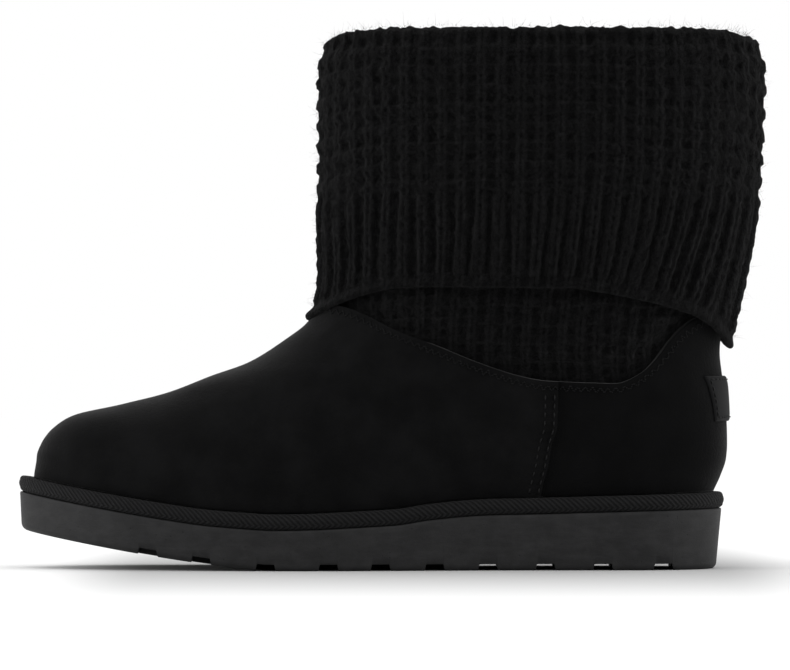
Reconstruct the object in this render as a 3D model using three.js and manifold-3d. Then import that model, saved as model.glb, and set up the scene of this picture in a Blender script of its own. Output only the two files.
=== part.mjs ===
// A pull-on winter boot for the left foot, with a suede foot and a knitted shaft
// that turns down outside as a wide cuff. The boot stands on a wedge outsole.
//
// Millimetres, +Z up. The toe points along -X, the outer side faces -Y, and the
// origin lies on the floor under a flat tread block behind the ball of the foot.
//
// All shapes are worked out along the boot, from x = 0 at the toe of the outsole
// to x = LENGTH at its heel. The group that holds them moves the origin.

import * as THREE from "three";
import Module from "manifold-3d";

const { lerp, clamp, smoothstep } = THREE.MathUtils;

// Sizes of the sole
const LENGTH = 275;
const BALL_WIDTH = 97;
const FORE_THICKNESS = 14.8;
const HEEL_THICKNESS = 23.7;
const TOE_SPRING = 15.2;
const SPRING_LENGTH = 99;
const SPRING_POWER = 1.3;
const TREAD_BEVEL = 2.4;
const TOE_TAPER = 0.6;
const HEEL_TAPER = 2.6;
const GROOVE_WIDTH = 7.2;
const GROOVE_DEPTH = 3.2;
const PLATFORM_THICKNESS = 6;
const PLATFORM_ROUNDING = 1.4;
const TOE_ROUNDING = 46;
const HEEL_ROUNDING = 37;

// Sizes of the suede upper
const INSTEP_HEIGHT = 119;
const SUEDE_WALL = 2.6;
const TOE_MARGIN = 5.5;
const SIDE_MARGIN = 4.5;
const HEEL_MARGIN = 3.5;
const BULGE = 2.2;
const BULGE_HEIGHT = 14;
const COLLAR_HEIGHT = 102;
const COLLAR_DIP_HEIGHT = 72.5;
const SEAM_STEP = 0.8;
const SEAM_GAP = 0.6;
const SEAM_FADE = 14;
const INSOLE_THICKNESS = 4;

// Sizes of the knitted shaft and its cuff
const HEIGHT = 212;
const SHAFT_DEPTH = 164.4;
const SHAFT_WIDTH = 86;
const ANKLE_WIDTH = 72;
const KNIT_WALL = 3.6;
const FOLD_GAP = 2.6;
const CUFF_STANDOFF = 5.2;
const HEM_FRONT_STANDOFF = 4.3;
const HEM_BACK_STANDOFF = 6;
const HEM_HEIGHT = 109.5;
const HEM_BACK_HEIGHT = 87;
const SEWN_OVERLAP = 10;
const RELEASE_HEIGHT = 14;
const HEM_SIDE_FLARE = 2.4;
const RIM_DIP = 4;
const RIM_DIP_SHARPNESS = 12;

// Sizes of the heel label
const LABEL_HEIGHT = 17.5;
const LABEL_TOP = 75;
const LABEL_WIDTH = 42;
const LABEL_TAPER = 4;
const LABEL_THICKNESS = 1;

// Clearances between pieces that meet
const CLEARANCE = 0.3;
const KNIT_CLEARANCE = 0.8;
const INSOLE_CLEARANCE = 0.8;

// Colours, as the pieces look in soft light
const RUBBER = { color: 0x2b2b2c, roughness: 0.6, metalness: 0 };
const TAPE = { color: 0x1a1a1b, roughness: 0.85, metalness: 0 };
const FLEECE = { color: 0x232324, roughness: 1, metalness: 0 };
const SUEDE = { color: 0x161617, roughness: 0.9, metalness: 0 };
const KNIT = { color: 0x101011, roughness: 1, metalness: 0 };
const WOVEN = { color: 0x121213, roughness: 0.8, metalness: 0 };

// Outline of the outsole. at: share of the length from the toe.
// half: half width, and swing: centre line towards the inner side, both shares of the ball width.
const OUTLINE = [
  { at: 0.0, half: 0.37, swing: 0.1 },
  { at: 0.1, half: 0.415, swing: 0.078 },
  { at: 0.2, half: 0.462, swing: 0.046 },
  { at: 0.3, half: 0.495, swing: 0.014 },
  { at: 0.36, half: 0.5, swing: 0.0 },
  { at: 0.45, half: 0.482, swing: -0.012 },
  { at: 0.55, half: 0.43, swing: -0.016 },
  { at: 0.65, half: 0.385, swing: -0.01 },
  { at: 0.76, half: 0.37, swing: 0.0 },
  { at: 1.0, half: 0.37, swing: 0.0 },
];

// Wedge of the outsole. rise: share of the extra thickness at the heel.
const WEDGE = [
  { at: 0.0, rise: 0.0 },
  { at: 0.25, rise: 0.0 },
  { at: 0.335, rise: 0.08 },
  { at: 0.4, rise: 0.1 },
  { at: 0.48, rise: 0.21 },
  { at: 0.538, rise: 0.32 },
  { at: 0.58, rise: 0.52 },
  { at: 0.66, rise: 0.73 },
  { at: 0.735, rise: 0.78 },
  { at: 0.845, rise: 0.87 },
  { at: 1.0, rise: 1.0 },
];

// Centres of the tread grooves, as shares of the length from the toe.
const GROOVES = [0.187, 0.2625, 0.353, 0.441, 0.514, 0.59, 0.665, 0.746, 0.827, 0.912];

// Line of toe, vamp and instep. rise: share of the way from the toe's feather edge up to the
// instep height. setback: share of the way from the toe back to the front of the shaft.
const VAMP_LINE = [
  { rise: 0.0, setback: 0.0 },
  { rise: 0.1, setback: 0.004 },
  { rise: 0.155, setback: 0.018 },
  { rise: 0.211, setback: 0.045 },
  { rise: 0.267, setback: 0.096 },
  { rise: 0.296, setback: 0.14 },
  { rise: 0.323, setback: 0.211 },
  { rise: 0.351, setback: 0.309 },
  { rise: 0.38, setback: 0.404 },
  { rise: 0.436, setback: 0.526 },
  { rise: 0.492, setback: 0.635 },
  { rise: 0.547, setback: 0.733 },
  { rise: 0.603, setback: 0.811 },
  { rise: 0.668, setback: 0.879 },
  { rise: 0.72, setback: 0.925 },
  { rise: 0.785, setback: 0.962 },
  { rise: 0.87, setback: 0.986 },
  { rise: 1.0, setback: 1.0 },
];

// Line of the heel. rise: share of the way from the heel's feather edge up to the instep
// height. reach: distance behind the outsole's heel, as a share of the length.
const HEEL_LINE = [
  { rise: 0.0, reach: -0.0135 },
  { rise: 0.066, reach: -0.004 },
  { rise: 0.145, reach: 0.0045 },
  { rise: 0.207, reach: 0.006 },
  { rise: 0.355, reach: 0.0048 },
  { rise: 0.45, reach: 0.003 },
  { rise: 0.52, reach: -0.0005 },
  { rise: 0.615, reach: -0.0036 },
  { rise: 0.694, reach: -0.0022 },
  { rise: 0.785, reach: 0.003 },
  { rise: 0.898, reach: 0.0105 },
  { rise: 1.0, reach: 0.0165 },
];

// Lean of the shaft. rise: share of the way from the instep height to the rim.
// reach: as above. depth: share of the shaft's depth from front to back.
const SHAFT_LINE = [
  { rise: 0.0, reach: 0.0165, depth: 0.968 },
  { rise: 0.104, reach: 0.023, depth: 0.976 },
  { rise: 0.258, reach: 0.03, depth: 0.984 },
  { rise: 0.505, reach: 0.036, depth: 0.993 },
  { rise: 0.763, reach: 0.0392, depth: 0.999 },
  { rise: 1.0, reach: 0.04, depth: 1.0 },
];

// Scalloped top edge of the suede. at: share of the length from the toe.
// rise: share of the way from the dip's height up to the collar's height.
const COLLAR_EDGE = [
  { at: 0.4, rise: 0.95 },
  { at: 0.432, rise: 1.0 },
  { at: 0.4625, rise: 0.985 },
  { at: 0.5406, rise: 0.675 },
  { at: 0.5973, rise: 0.48 },
  { at: 0.6541, rise: 0.264 },
  { at: 0.711, rise: 0.095 },
  { at: 0.7463, rise: 0.034 },
  { at: 0.8, rise: 0.01 },
  { at: 0.845, rise: 0.0 },
  { at: 0.8811, rise: 0.146 },
  { at: 0.9024, rise: 0.332 },
  { at: 0.9208, rise: 0.542 },
  { at: 0.945, rise: 0.756 },
  { at: 0.9663, rise: 0.864 },
  { at: 1.02, rise: 0.95 },
];

// Lower edge of the cuff. rise: share of the way from the hem's back height to its side height.
const HEM_EDGE = [
  { at: 0.4, rise: 0.44 },
  { at: 0.4796, rise: 0.755 },
  { at: 0.5406, rise: 0.97 },
  { at: 0.6115, rise: 1.0 },
  { at: 0.7676, rise: 1.0 },
  { at: 0.8244, rise: 0.91 },
  { at: 0.8882, rise: 0.74 },
  { at: 0.9194, rise: 0.59 },
  { at: 0.9506, rise: 0.41 },
  { at: 0.975, rise: 0.24 },
  { at: 1.0, rise: 0.03 },
  { at: 1.03, rise: 0.0 },
];

// Side seam, where the vamp laps over the heel quarter. rise: share of the way from the
// feather edge up to the collar's dip. at: share of the length from the toe.
const SEAM_LINE = [
  { rise: 0.0, at: 0.7392 },
  { rise: 0.095, at: 0.7421 },
  { rise: 0.259, at: 0.7492 },
  { rise: 0.459, at: 0.7548 },
  { rise: 0.6075, at: 0.762 },
  { rise: 0.936, at: 0.7634 },
  { rise: 1.1, at: 0.7634 },
];

// How round the foot's section is under the ridge of the vamp, and the shares of the
// length between which that arch opens into the shaft.
const ARCH = { power: 2.4, from: 0.2, to: 0.6 };

// Where the foot's section turns into the shaft's, as shares of the instep height:
// its width shrinks to the ankle's and grows to the shaft's, and its ends grow rounder.
const TURN = {
  ankle: { from: 0.25, to: 0.88 },
  shaft: { from: 0.6, to: 1.15 },
  ends: { from: 0.5, to: 1.0 },
};

// Mesh steps
const SOLE_STEPS = 40;
const VAMP_STEPS = 18;
const QUARTER_STEPS = 10;
const UPPER_ROWS = 19;
const KNIT_STEPS = 28;
const FOLD_STEPS = 6;
const LABEL_STEPS = { across: 12, up: 3 };

/** A smooth curve through a table's rows that never overshoots them. */
function curve(rows, along, value) {
  const xs = rows.map((row) => row[along]);
  const ys = rows.map((row) => row[value]);
  const slopes = xs.slice(1).map((x, i) => (ys[i + 1] - ys[i]) / (x - xs[i]));
  const tangents = xs.map((_, i) => {
    const before = slopes[Math.max(i - 1, 0)];
    const after = slopes[Math.min(i, slopes.length - 1)];
    return before * after > 0 ? (2 * before * after) / (before + after) : 0;
  });
  return (x) => {
    if (x <= xs[0]) return ys[0];
    if (x >= xs[xs.length - 1]) return ys[ys.length - 1];
    const i = xs.findIndex((end) => end > x) - 1;
    const width = xs[i + 1] - xs[i];
    const t = (x - xs[i]) / width;
    const start = (1 + 2 * t) * (1 - t) ** 2 * ys[i] + t * (1 - t) ** 2 * width * tangents[i];
    const end = t ** 2 * (3 - 2 * t) * ys[i + 1] - t ** 2 * (1 - t) * width * tangents[i + 1];
    return start + end;
  };
}

/** The x between low and high at which a rising function reaches a value. */
function solve(rising, value, low, high) {
  const halvings = 40;
  for (let i = 0; i < halvings; i += 1) {
    const middle = (low + high) / 2;
    if (rising(middle) < value) low = middle;
    else high = middle;
  }
  return (low + high) / 2;
}

/** Settles a height that depends on the place, where the place depends on the height. */
function settle(placeAt, heightAt, start) {
  const rounds = 30;
  let z = start;
  for (let i = 0; i < rounds; i += 1) z = (z + heightAt(placeAt(z))) / 2;
  return z;
}

/** Square of an ellipse's half width at a distance from its end. */
function endRounding(distance, reach) {
  const t = clamp(distance / reach, 0, 1);
  return 1 - (1 - t) ** 2;
}

/** The least of some shares, with soft corners where they cross. */
function softLeast(shares) {
  const tiny = 1e-9;
  const sum = shares.reduce((total, share) => total + Math.max(share, tiny) ** -2, 1 - shares.length);
  return sum ** -0.5;
}

// Outline and levels of the sole

const halfWidthShare = curve(OUTLINE, "at", "half");
const swingShare = curve(OUTLINE, "at", "swing");
const wedgeRise = curve(WEDGE, "at", "rise");

/** Half width of the outsole, before its toe and heel are rounded. */
function soleHalfWidth(x) {
  return BALL_WIDTH * halfWidthShare(x / LENGTH);
}

/** Centre line of the foot, which swings towards the inner side at the toe. */
function soleCentre(x) {
  return BALL_WIDTH * swingShare(x / LENGTH);
}

/** Height of the tread: flat behind the ball, and lifted towards the toe. */
function treadHeight(x) {
  const lift = clamp((SPRING_LENGTH - x) / SPRING_LENGTH, 0, 1);
  return TOE_SPRING * lift ** SPRING_POWER;
}

function outsoleTop(x) {
  return treadHeight(x) + lerp(FORE_THICKNESS, HEEL_THICKNESS, wedgeRise(x / LENGTH));
}

function platformTop(x) {
  return outsoleTop(x) + CLEARANCE + PLATFORM_THICKNESS;
}

/** Feather edge: where the upper's wall meets the platform. */
function featherHeight(x) {
  return platformTop(x) + CLEARANCE;
}

/** Points across the sole, toe to heel, at an inset from its outline at toe, sides and heel. */
function soleStations(toe, side, heel) {
  const points = [];
  for (let i = 0; i <= SOLE_STEPS; i += 1) {
    const x = lerp(toe, LENGTH - heel, (1 - Math.cos((Math.PI * i) / SOLE_STEPS)) / 2);
    const nose = endRounding(x - toe, TOE_ROUNDING - toe);
    const tail = endRounding(LENGTH - heel - x, HEEL_ROUNDING - heel);
    const half = (soleHalfWidth(x) - side) * Math.sqrt(softLeast([nose, tail]));
    points.push({ x, low: soleCentre(x) - half, high: soleCentre(x) + half });
  }
  return points;
}

// Side lines of the upper

const shaftLevel = (row) => lerp(INSTEP_HEIGHT, HEIGHT, row.rise);
const shaftBackAt = (row) => LENGTH * (1 + row.reach);
const shaftFrontAt = (row) => shaftBackAt(row) - SHAFT_DEPTH * row.depth;
const toeFeather = featherHeight(TOE_MARGIN);
const heelFeather = featherHeight(LENGTH - HEEL_MARGIN);
const shaftFoot = shaftFrontAt(SHAFT_LINE[0]);

const frontAt = curve(
  [
    ...VAMP_LINE.map((row) => ({
      z: lerp(toeFeather, INSTEP_HEIGHT, row.rise),
      x: lerp(TOE_MARGIN, shaftFoot, row.setback),
    })),
    ...SHAFT_LINE.slice(1).map((row) => ({ z: shaftLevel(row), x: shaftFrontAt(row) })),
  ],
  "z",
  "x",
);

const backAt = curve(
  [
    ...HEEL_LINE.map((row) => ({
      z: lerp(heelFeather, INSTEP_HEIGHT, row.rise),
      x: LENGTH * (1 + row.reach),
    })),
    ...SHAFT_LINE.slice(1).map((row) => ({ z: shaftLevel(row), x: shaftBackAt(row) })),
  ],
  "z",
  "x",
);

const collarShare = curve(COLLAR_EDGE, "at", "rise");
const hemShare = curve(HEM_EDGE, "at", "rise");
const seamShare = curve(SEAM_LINE, "rise", "at");

/** Height of the vamp's ridge above a place, which has no end under the open shaft. */
function ridgeHeight(x) {
  if (x >= frontAt(HEIGHT)) return Infinity;
  return solve(frontAt, x, toeFeather, HEIGHT);
}

function collarHeight(x) {
  return lerp(COLLAR_DIP_HEIGHT, COLLAR_HEIGHT, collarShare(x / LENGTH));
}

function hemHeight(x) {
  return lerp(HEM_BACK_HEIGHT, HEM_HEIGHT, hemShare(x / LENGTH));
}

function seamAt(z) {
  const foot = featherHeight(LENGTH * SEAM_LINE[0].at);
  return LENGTH * seamShare((z - foot) / (COLLAR_DIP_HEIGHT - foot));
}

// Outer skin of the upper, as one closed curve around the foot at each height

/** How far a height is through one of the turns from foot to shaft, 0 to 1. */
function turned(z, turn) {
  return smoothstep(z, turn.from * INSTEP_HEIGHT, turn.to * INSTEP_HEIGHT);
}

/** Square of the arch's half width under the vamp's ridge, all open in the shaft. */
function archShare(x, z, above) {
  const open = smoothstep(x / LENGTH, ARCH.from, ARCH.to);
  const room = Math.min(ridgeHeight(x), INSTEP_HEIGHT) - featherHeight(x);
  const closing = clamp((above * (1 - open)) / room, 0, 1) ** ARCH.power;
  return 1 - closing * (1 - open * turned(z, TURN.ankle));
}

/**
 * Half width of the skin: the foot's width turns into the shaft's, and is rounded off at
 * the ridge of the vamp, at the front end and at the back end of the section.
 */
function skinHalfWidth(x, z) {
  const above = Math.max(z - featherHeight(x), 0);
  const swell = BULGE * (above / BULGE_HEIGHT) * Math.exp(1 - above / BULGE_HEIGHT);
  const foot = soleHalfWidth(x) - SIDE_MARGIN + swell;
  const leg = lerp(ANKLE_WIDTH, SHAFT_WIDTH, turned(z, TURN.shaft)) / 2;
  const width = lerp(foot, leg, turned(z, TURN.ankle));
  const ends = turned(z, TURN.ends);
  const front = endRounding(x - frontAt(z), lerp(TOE_ROUNDING - TOE_MARGIN, SHAFT_DEPTH / 2, ends));
  const back = endRounding(backAt(z) - x, lerp(HEEL_ROUNDING - HEEL_MARGIN, SHAFT_DEPTH / 2, ends));
  return width * Math.sqrt(softLeast([archShare(x, z, above), front, back]));
}

/** Centre line of the skin's section, straight in the shaft. */
function skinCentre(x, z) {
  return soleCentre(x) * (1 - turned(z, TURN.ankle));
}

/** Place along the boot of an angle around the section: 0 is its front and half a turn its back. */
function placeOf(angle, z) {
  return lerp(frontAt(z), backAt(z), (1 - Math.cos(angle)) / 2);
}

function angleOf(x, z) {
  const share = (x - frontAt(z)) / (backAt(z) - frontAt(z));
  return Math.acos(clamp(1 - 2 * share, -1, 1));
}

/** Point of the skin. The first half turn runs along the outer side, the second along the inner. */
function skinPoint(angle, z) {
  const x = placeOf(angle, z);
  const side = Math.sin(angle) < 0 ? 1 : -1;
  return new THREE.Vector3(x, skinCentre(x, z) + side * skinHalfWidth(x, z), z);
}

/** Point at a distance outside the skin, or inside it when the distance is negative. */
function offsetPoint(angle, z, distance) {
  const turn = 0.02;
  const lift = 0.4;
  const around = skinPoint(angle + turn, z).sub(skinPoint(angle - turn, z));
  const up = skinPoint(angle, z + lift).sub(skinPoint(angle, z - lift));
  const outward = around.cross(up).normalize();
  return skinPoint(angle, z).addScaledVector(outward, distance);
}

// Closed bodies from rings and grids of points

/** A mesh's geometry with its faces turned outward. */
function bodyFrom(points, triangles) {
  const volume = triangles.reduce((sum, [a, b, c]) => {
    return sum + points[a].dot(points[b].clone().cross(points[c]));
  }, 0);
  const faces = volume < 0 ? triangles.map(([a, b, c]) => [a, c, b]) : triangles;
  const geometry = new THREE.BufferGeometry();
  const positions = points.flatMap((point) => point.toArray());
  geometry.setAttribute("position", new THREE.Float32BufferAttribute(positions, 3));
  geometry.setIndex(faces.flat());
  return geometry;
}

/** Two triangles between neighbouring points of two rows. */
function quad(a, b, c, d) {
  return [
    [a, b, c],
    [a, c, d],
  ];
}

/** A hollow body: closed rings, each joined to the next and the last to the first. */
function ringBody(rings) {
  const count = rings[0].length;
  const triangles = rings.flatMap((ring, row) => {
    const next = (row + 1) % rings.length;
    return ring.flatMap((_, i) => {
      const j = (i + 1) % count;
      return quad(row * count + i, row * count + j, next * count + j, next * count + i);
    });
  });
  return bodyFrom(rings.flat(), triangles);
}

/** A plate: layers of stations joined up their sides, closed by strips across top and bottom. */
function plateBody(layers) {
  const points = [];
  const triangles = [];
  const last = layers[0].length - 1;
  const rings = layers.map((layer) => {
    const start = points.length;
    layer.forEach((station) => points.push(new THREE.Vector3(station.x, station.low, station.z)));
    layer.slice(1, last).forEach((station) => {
      points.push(new THREE.Vector3(station.x, station.high, station.z));
    });
    const low = (i) => start + i;
    const high = (i) => (i === 0 || i === last ? start + i : start + last + i);
    return { low, high };
  });
  for (let i = 0; i < last; i += 1) {
    for (let row = 0; row + 1 < rings.length; row += 1) {
      const [below, above] = [rings[row], rings[row + 1]];
      triangles.push(...quad(below.low(i), below.low(i + 1), above.low(i + 1), above.low(i)));
      triangles.push(...quad(below.high(i + 1), below.high(i), above.high(i), above.high(i + 1)));
    }
    const bottom = rings[0];
    const top = rings[rings.length - 1];
    triangles.push(...quad(bottom.low(i + 1), bottom.low(i), bottom.high(i), bottom.high(i + 1)));
    triangles.push(...quad(top.low(i), top.low(i + 1), top.high(i + 1), top.high(i)));
  }
  return bodyFrom(points, triangles.filter(([a, b, c]) => a !== b && b !== c && c !== a));
}

/** A patch: an outer and an inner grid of points, joined around their edges. */
function patchBody(outer, inner) {
  const rows = outer.length;
  const columns = outer[0].length;
  const points = [...outer.flat(), ...inner.flat()];
  const front = (row, column) => row * columns + column;
  const back = (row, column) => rows * columns + row * columns + column;
  const triangles = [];
  for (let r = 0; r + 1 < rows; r += 1) {
    for (let c = 0; c + 1 < columns; c += 1) {
      triangles.push(...quad(front(r, c), front(r, c + 1), front(r + 1, c + 1), front(r + 1, c)));
      triangles.push(...quad(back(r, c + 1), back(r, c), back(r + 1, c), back(r + 1, c + 1)));
    }
    const end = columns - 1;
    triangles.push(...quad(front(r + 1, 0), back(r + 1, 0), back(r, 0), front(r, 0)));
    triangles.push(...quad(front(r, end), back(r, end), back(r + 1, end), front(r + 1, end)));
  }
  for (let c = 0; c + 1 < columns; c += 1) {
    const end = rows - 1;
    triangles.push(...quad(front(0, c), back(0, c), back(0, c + 1), front(0, c + 1)));
    triangles.push(...quad(front(end, c + 1), back(end, c + 1), back(end, c), front(end, c)));
  }
  return bodyFrom(points, triangles);
}

// Outsole: a wedge with a bevelled foot, tapered walls and grooves right across

const wasm = await Module();
wasm.setup();

function toSolid(geometry) {
  const vertProperties = Float32Array.from(geometry.attributes.position.array);
  const triVerts = Uint32Array.from(geometry.index.array);
  return new wasm.Manifold(new wasm.Mesh({ numProp: 3, vertProperties, triVerts }));
}

function toGeometry(solid) {
  const mesh = solid.getMesh();
  const geometry = new THREE.BufferGeometry();
  geometry.setAttribute("position", new THREE.Float32BufferAttribute(mesh.vertProperties, 3));
  geometry.setIndex(Array.from(mesh.triVerts));
  return geometry;
}

/** One layer of the sole, with its height worked out at each station. */
function soleLayer(inset, heightAt) {
  return soleStations(inset.toe, inset.side, inset.heel).map((station) => {
    return { ...station, z: heightAt(station.x) };
  });
}

/** A bar across the tread, square to it, that cuts one groove. */
function grooveBar(share) {
  const x = LENGTH * share;
  const reach = 1;
  const slope = Math.atan2(treadHeight(x + reach) - treadHeight(x - reach), 2 * reach);
  const bar = new THREE.BoxGeometry(GROOVE_WIDTH, 2 * BALL_WIDTH, 2 * GROOVE_DEPTH);
  bar.deleteAttribute("normal");
  bar.deleteAttribute("uv");
  bar.rotateY(-slope);
  bar.translate(x, 0, treadHeight(x));
  return bar;
}

function makeOutsole() {
  const side = (TOE_TAPER + HEEL_TAPER) / 2;
  const foot = { toe: TOE_TAPER + TREAD_BEVEL, side: side + TREAD_BEVEL, heel: HEEL_TAPER + TREAD_BEVEL };
  const wall = { toe: TOE_TAPER, side, heel: HEEL_TAPER };
  const rim = { toe: 0, side: 0, heel: TOE_TAPER };
  const wedge = plateBody([
    soleLayer(foot, treadHeight),
    soleLayer(wall, (x) => treadHeight(x) + TREAD_BEVEL),
    soleLayer(rim, outsoleTop),
  ]);
  let solid = toSolid(wedge);
  GROOVES.forEach((share) => {
    const bar = grooveBar(share);
    solid = solid.subtract(toSolid(weld(bar)));
  });
  return toGeometry(solid);
}

/** A box's geometry with the corners of its faces made one. */
function weld(geometry) {
  const places = new Map();
  const points = [];
  const index = Array.from(geometry.index.array, (i) => {
    const point = new THREE.Vector3().fromBufferAttribute(geometry.attributes.position, i);
    const key = point.toArray().map((value) => value.toFixed(4)).join(" ");
    if (!places.has(key)) {
      places.set(key, points.length);
      points.push(point);
    }
    return places.get(key);
  });
  const triangles = [];
  for (let i = 0; i < index.length; i += 3) triangles.push(index.slice(i, i + 3));
  return bodyFrom(points, triangles);
}

// Platform: a board with a cloth tape bound round its edge, which makes it one rounded slab

function makePlatform() {
  const edge = { toe: 0, side: 0, heel: 0 };
  const rounded = { toe: PLATFORM_ROUNDING, side: PLATFORM_ROUNDING, heel: PLATFORM_ROUNDING };
  const bottom = (x) => outsoleTop(x) + CLEARANCE;
  return plateBody([
    soleLayer(edge, bottom),
    soleLayer(edge, (x) => platformTop(x) - PLATFORM_ROUNDING),
    soleLayer(rounded, platformTop),
  ]);
}

// Insole: lies on the platform, inside the foot of the upper

function makeInsole() {
  const wall = SUEDE_WALL + INSOLE_CLEARANCE;
  const inset = { toe: TOE_MARGIN + wall, side: SIDE_MARGIN + wall, heel: HEEL_MARGIN + wall };
  return plateBody([
    soleLayer(inset, featherHeight),
    soleLayer(inset, (x) => featherHeight(x) + INSOLE_THICKNESS),
  ]);
}

// Upper: vamp and heel quarter, one wall that is open above and below

/** Places from toe to seam, and from seam to heel, as functions of the height. */
function upperPlaces() {
  const places = [];
  for (let i = 0; i <= VAMP_STEPS; i += 1) {
    const share = 1 - Math.cos((Math.PI / 2) * (i / VAMP_STEPS));
    places.push((z) => lerp(frontAt(z), seamAt(z) - SEAM_GAP / 2, share));
  }
  for (let i = 0; i <= QUARTER_STEPS; i += 1) {
    const share = Math.sin((Math.PI / 2) * (i / QUARTER_STEPS));
    places.push((z) => lerp(seamAt(z) + SEAM_GAP / 2, backAt(z), share));
  }
  return places;
}

/** How far the vamp stands off the skin where it laps over the quarter. */
function lapStep(x, z) {
  const ahead = seamAt(z) - x;
  return ahead > 0 ? SEAM_STEP * Math.exp(-ahead / SEAM_FADE) : 0;
}

/** One ring of the wall, a share of the way up from the feather edge to the collar. */
function upperRing(columns, share, inside) {
  const sides = columns.map(({ placeAt, low, high }) => {
    const z = lerp(low, high, share);
    const x = placeAt(z);
    const distance = inside ? -SUEDE_WALL : lapStep(x, z);
    return { angle: angleOf(x, z), z, distance };
  });
  const last = sides.length - 1;
  const outer = sides.map(({ angle, z, distance }) => offsetPoint(angle, z, distance));
  const inner = sides.slice(1, last).map(({ angle, z, distance }) => offsetPoint(-angle, z, distance));
  return [...outer, ...inner.reverse()];
}

function makeUpper() {
  const columns = upperPlaces().map((placeAt) => ({
    placeAt,
    low: settle(placeAt, featherHeight, toeFeather),
    high: settle(placeAt, collarHeight, COLLAR_HEIGHT),
  }));
  const shares = Array.from({ length: UPPER_ROWS + 1 }, (_, i) => i / UPPER_ROWS);
  const outside = shares.map((share) => upperRing(columns, share, false));
  const inside = shares.map((share) => upperRing(columns, share, true));
  return ringBody([...outside, ...inside.reverse()]);
}

// Knitted shaft: rises from inside the collar, folds over at the rim and comes down as the cuff

/** Height of the rim, which rounds down at the front and at the back. */
function rimHeight(angle) {
  return HEIGHT - RIM_DIP * Math.abs(Math.cos(angle)) ** RIM_DIP_SHARPNESS;
}

/**
 * The knit's outline at one angle, as heights and distances from the skin: up the shaft's
 * outer face, round inside the fold, down the cuff's inner face, round the hem, up the
 * cuff's outer face, over the fold and down the shaft's inner face.
 */
function knitOutline(angle) {
  const collar = settle((z) => placeOf(angle, z), collarHeight, COLLAR_HEIGHT);
  const hem = settle((z) => placeOf(angle, z), hemHeight, HEM_HEIGHT);
  const outerRadius = KNIT_WALL + FOLD_GAP / 2;
  const centre = CUFF_STANDOFF - outerRadius;
  const shaft = centre - FOLD_GAP / 2;
  const spring = rimHeight(angle) - outerRadius;
  const sewn = -(SUEDE_WALL + KNIT_CLEARANCE);
  const released = collar + RELEASE_HEIGHT;
  const flare = HEM_SIDE_FLARE * Math.sin(angle) ** 2;
  const hemStandoff = lerp(HEM_FRONT_STANDOFF, HEM_BACK_STANDOFF, (1 - Math.cos(angle)) / 2) + flare;
  const outside = (share) => lerp(hemStandoff, CUFF_STANDOFF, smoothstep(share, 0, 0.4));
  const cuffLevel = (share) => lerp(hem + KNIT_WALL / 2, spring, share);
  const sewnShares = [0, 0.35, 0.7, 1];
  const shaftShares = [0.3, 0.65];
  const cuffShares = [0, 0.12, 0.25, 0.4, 0.6, 0.8];
  const fold = (radius, from, to) => {
    return Array.from({ length: FOLD_STEPS + 1 }, (_, i) => {
      const turn = lerp(from, to, i / FOLD_STEPS);
      return { z: spring + radius * Math.sin(turn), distance: centre + radius * Math.cos(turn) };
    });
  };
  const shaftFace = (depth) => [
    ...sewnShares.map((share) => ({
      z: lerp(collar - SEWN_OVERLAP, collar, share),
      distance: sewn - depth,
    })),
    { z: lerp(collar, released, 0.5), distance: lerp(sewn, shaft, 0.5) - depth },
    { z: released, distance: shaft - depth },
    ...shaftShares.map((share) => ({ z: lerp(released, spring, share), distance: shaft - depth })),
  ];
  const cuffFace = (depth) => cuffShares.map((share) => {
    return { z: cuffLevel(share), distance: outside(share) - depth };
  });
  return [
    ...shaftFace(0),
    ...fold(FOLD_GAP / 2, Math.PI, 0),
    ...cuffFace(KNIT_WALL).reverse(),
    { z: hem, distance: hemStandoff - KNIT_WALL * 0.7 },
    { z: hem, distance: hemStandoff - KNIT_WALL * 0.3 },
    ...cuffFace(0),
    ...fold(outerRadius, 0, Math.PI),
    ...shaftFace(KNIT_WALL).reverse(),
  ];
}

function makeKnitShaft() {
  const angles = Array.from({ length: 2 * KNIT_STEPS }, (_, i) => (Math.PI * i) / KNIT_STEPS);
  const columns = angles.map((angle) => {
    return knitOutline(angle).map(({ z, distance }) => offsetPoint(angle, z, distance));
  });
  const rings = columns[0].map((_, row) => columns.map((column) => column[row]));
  return ringBody(rings);
}

// Heel label: a bare woven tab that follows the back of the heel

function makeHeelLabel() {
  const face = (distance) => {
    return Array.from({ length: LABEL_STEPS.up + 1 }, (_, row) => {
      const up = row / LABEL_STEPS.up;
      const z = LABEL_TOP - LABEL_HEIGHT * (1 - up);
      const half = (LABEL_WIDTH - LABEL_TAPER * (1 - up)) / 2;
      return Array.from({ length: LABEL_STEPS.across + 1 }, (_, column) => {
        const across = lerp(-half, half, column / LABEL_STEPS.across);
        const inward = (reach) => skinHalfWidth(backAt(z) - reach, z);
        const reach = solve(inward, Math.abs(across), 0, HEEL_ROUNDING);
        const angle = angleOf(backAt(z) - reach, z);
        return offsetPoint(across < 0 ? angle : -angle, z, distance);
      });
    });
  };
  return patchBody(face(CLEARANCE + LABEL_THICKNESS), face(CLEARANCE));
}

// The boot

function piece(name, geometry, finish) {
  geometry.computeVertexNormals();
  const mesh = new THREE.Mesh(geometry, new THREE.MeshStandardMaterial(finish));
  mesh.name = name;
  return mesh;
}

const sole = new THREE.Group();
sole.add(piece("outsole", makeOutsole(), RUBBER));
sole.add(piece("platform", makePlatform(), TAPE));
sole.add(piece("insole", makeInsole(), FLEECE));

const bootLeg = new THREE.Group();
bootLeg.add(piece("upper", makeUpper(), SUEDE));
bootLeg.add(piece("knit_shaft", makeKnitShaft(), KNIT));
bootLeg.add(piece("heel_label", makeHeelLabel(), WOVEN));

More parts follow.
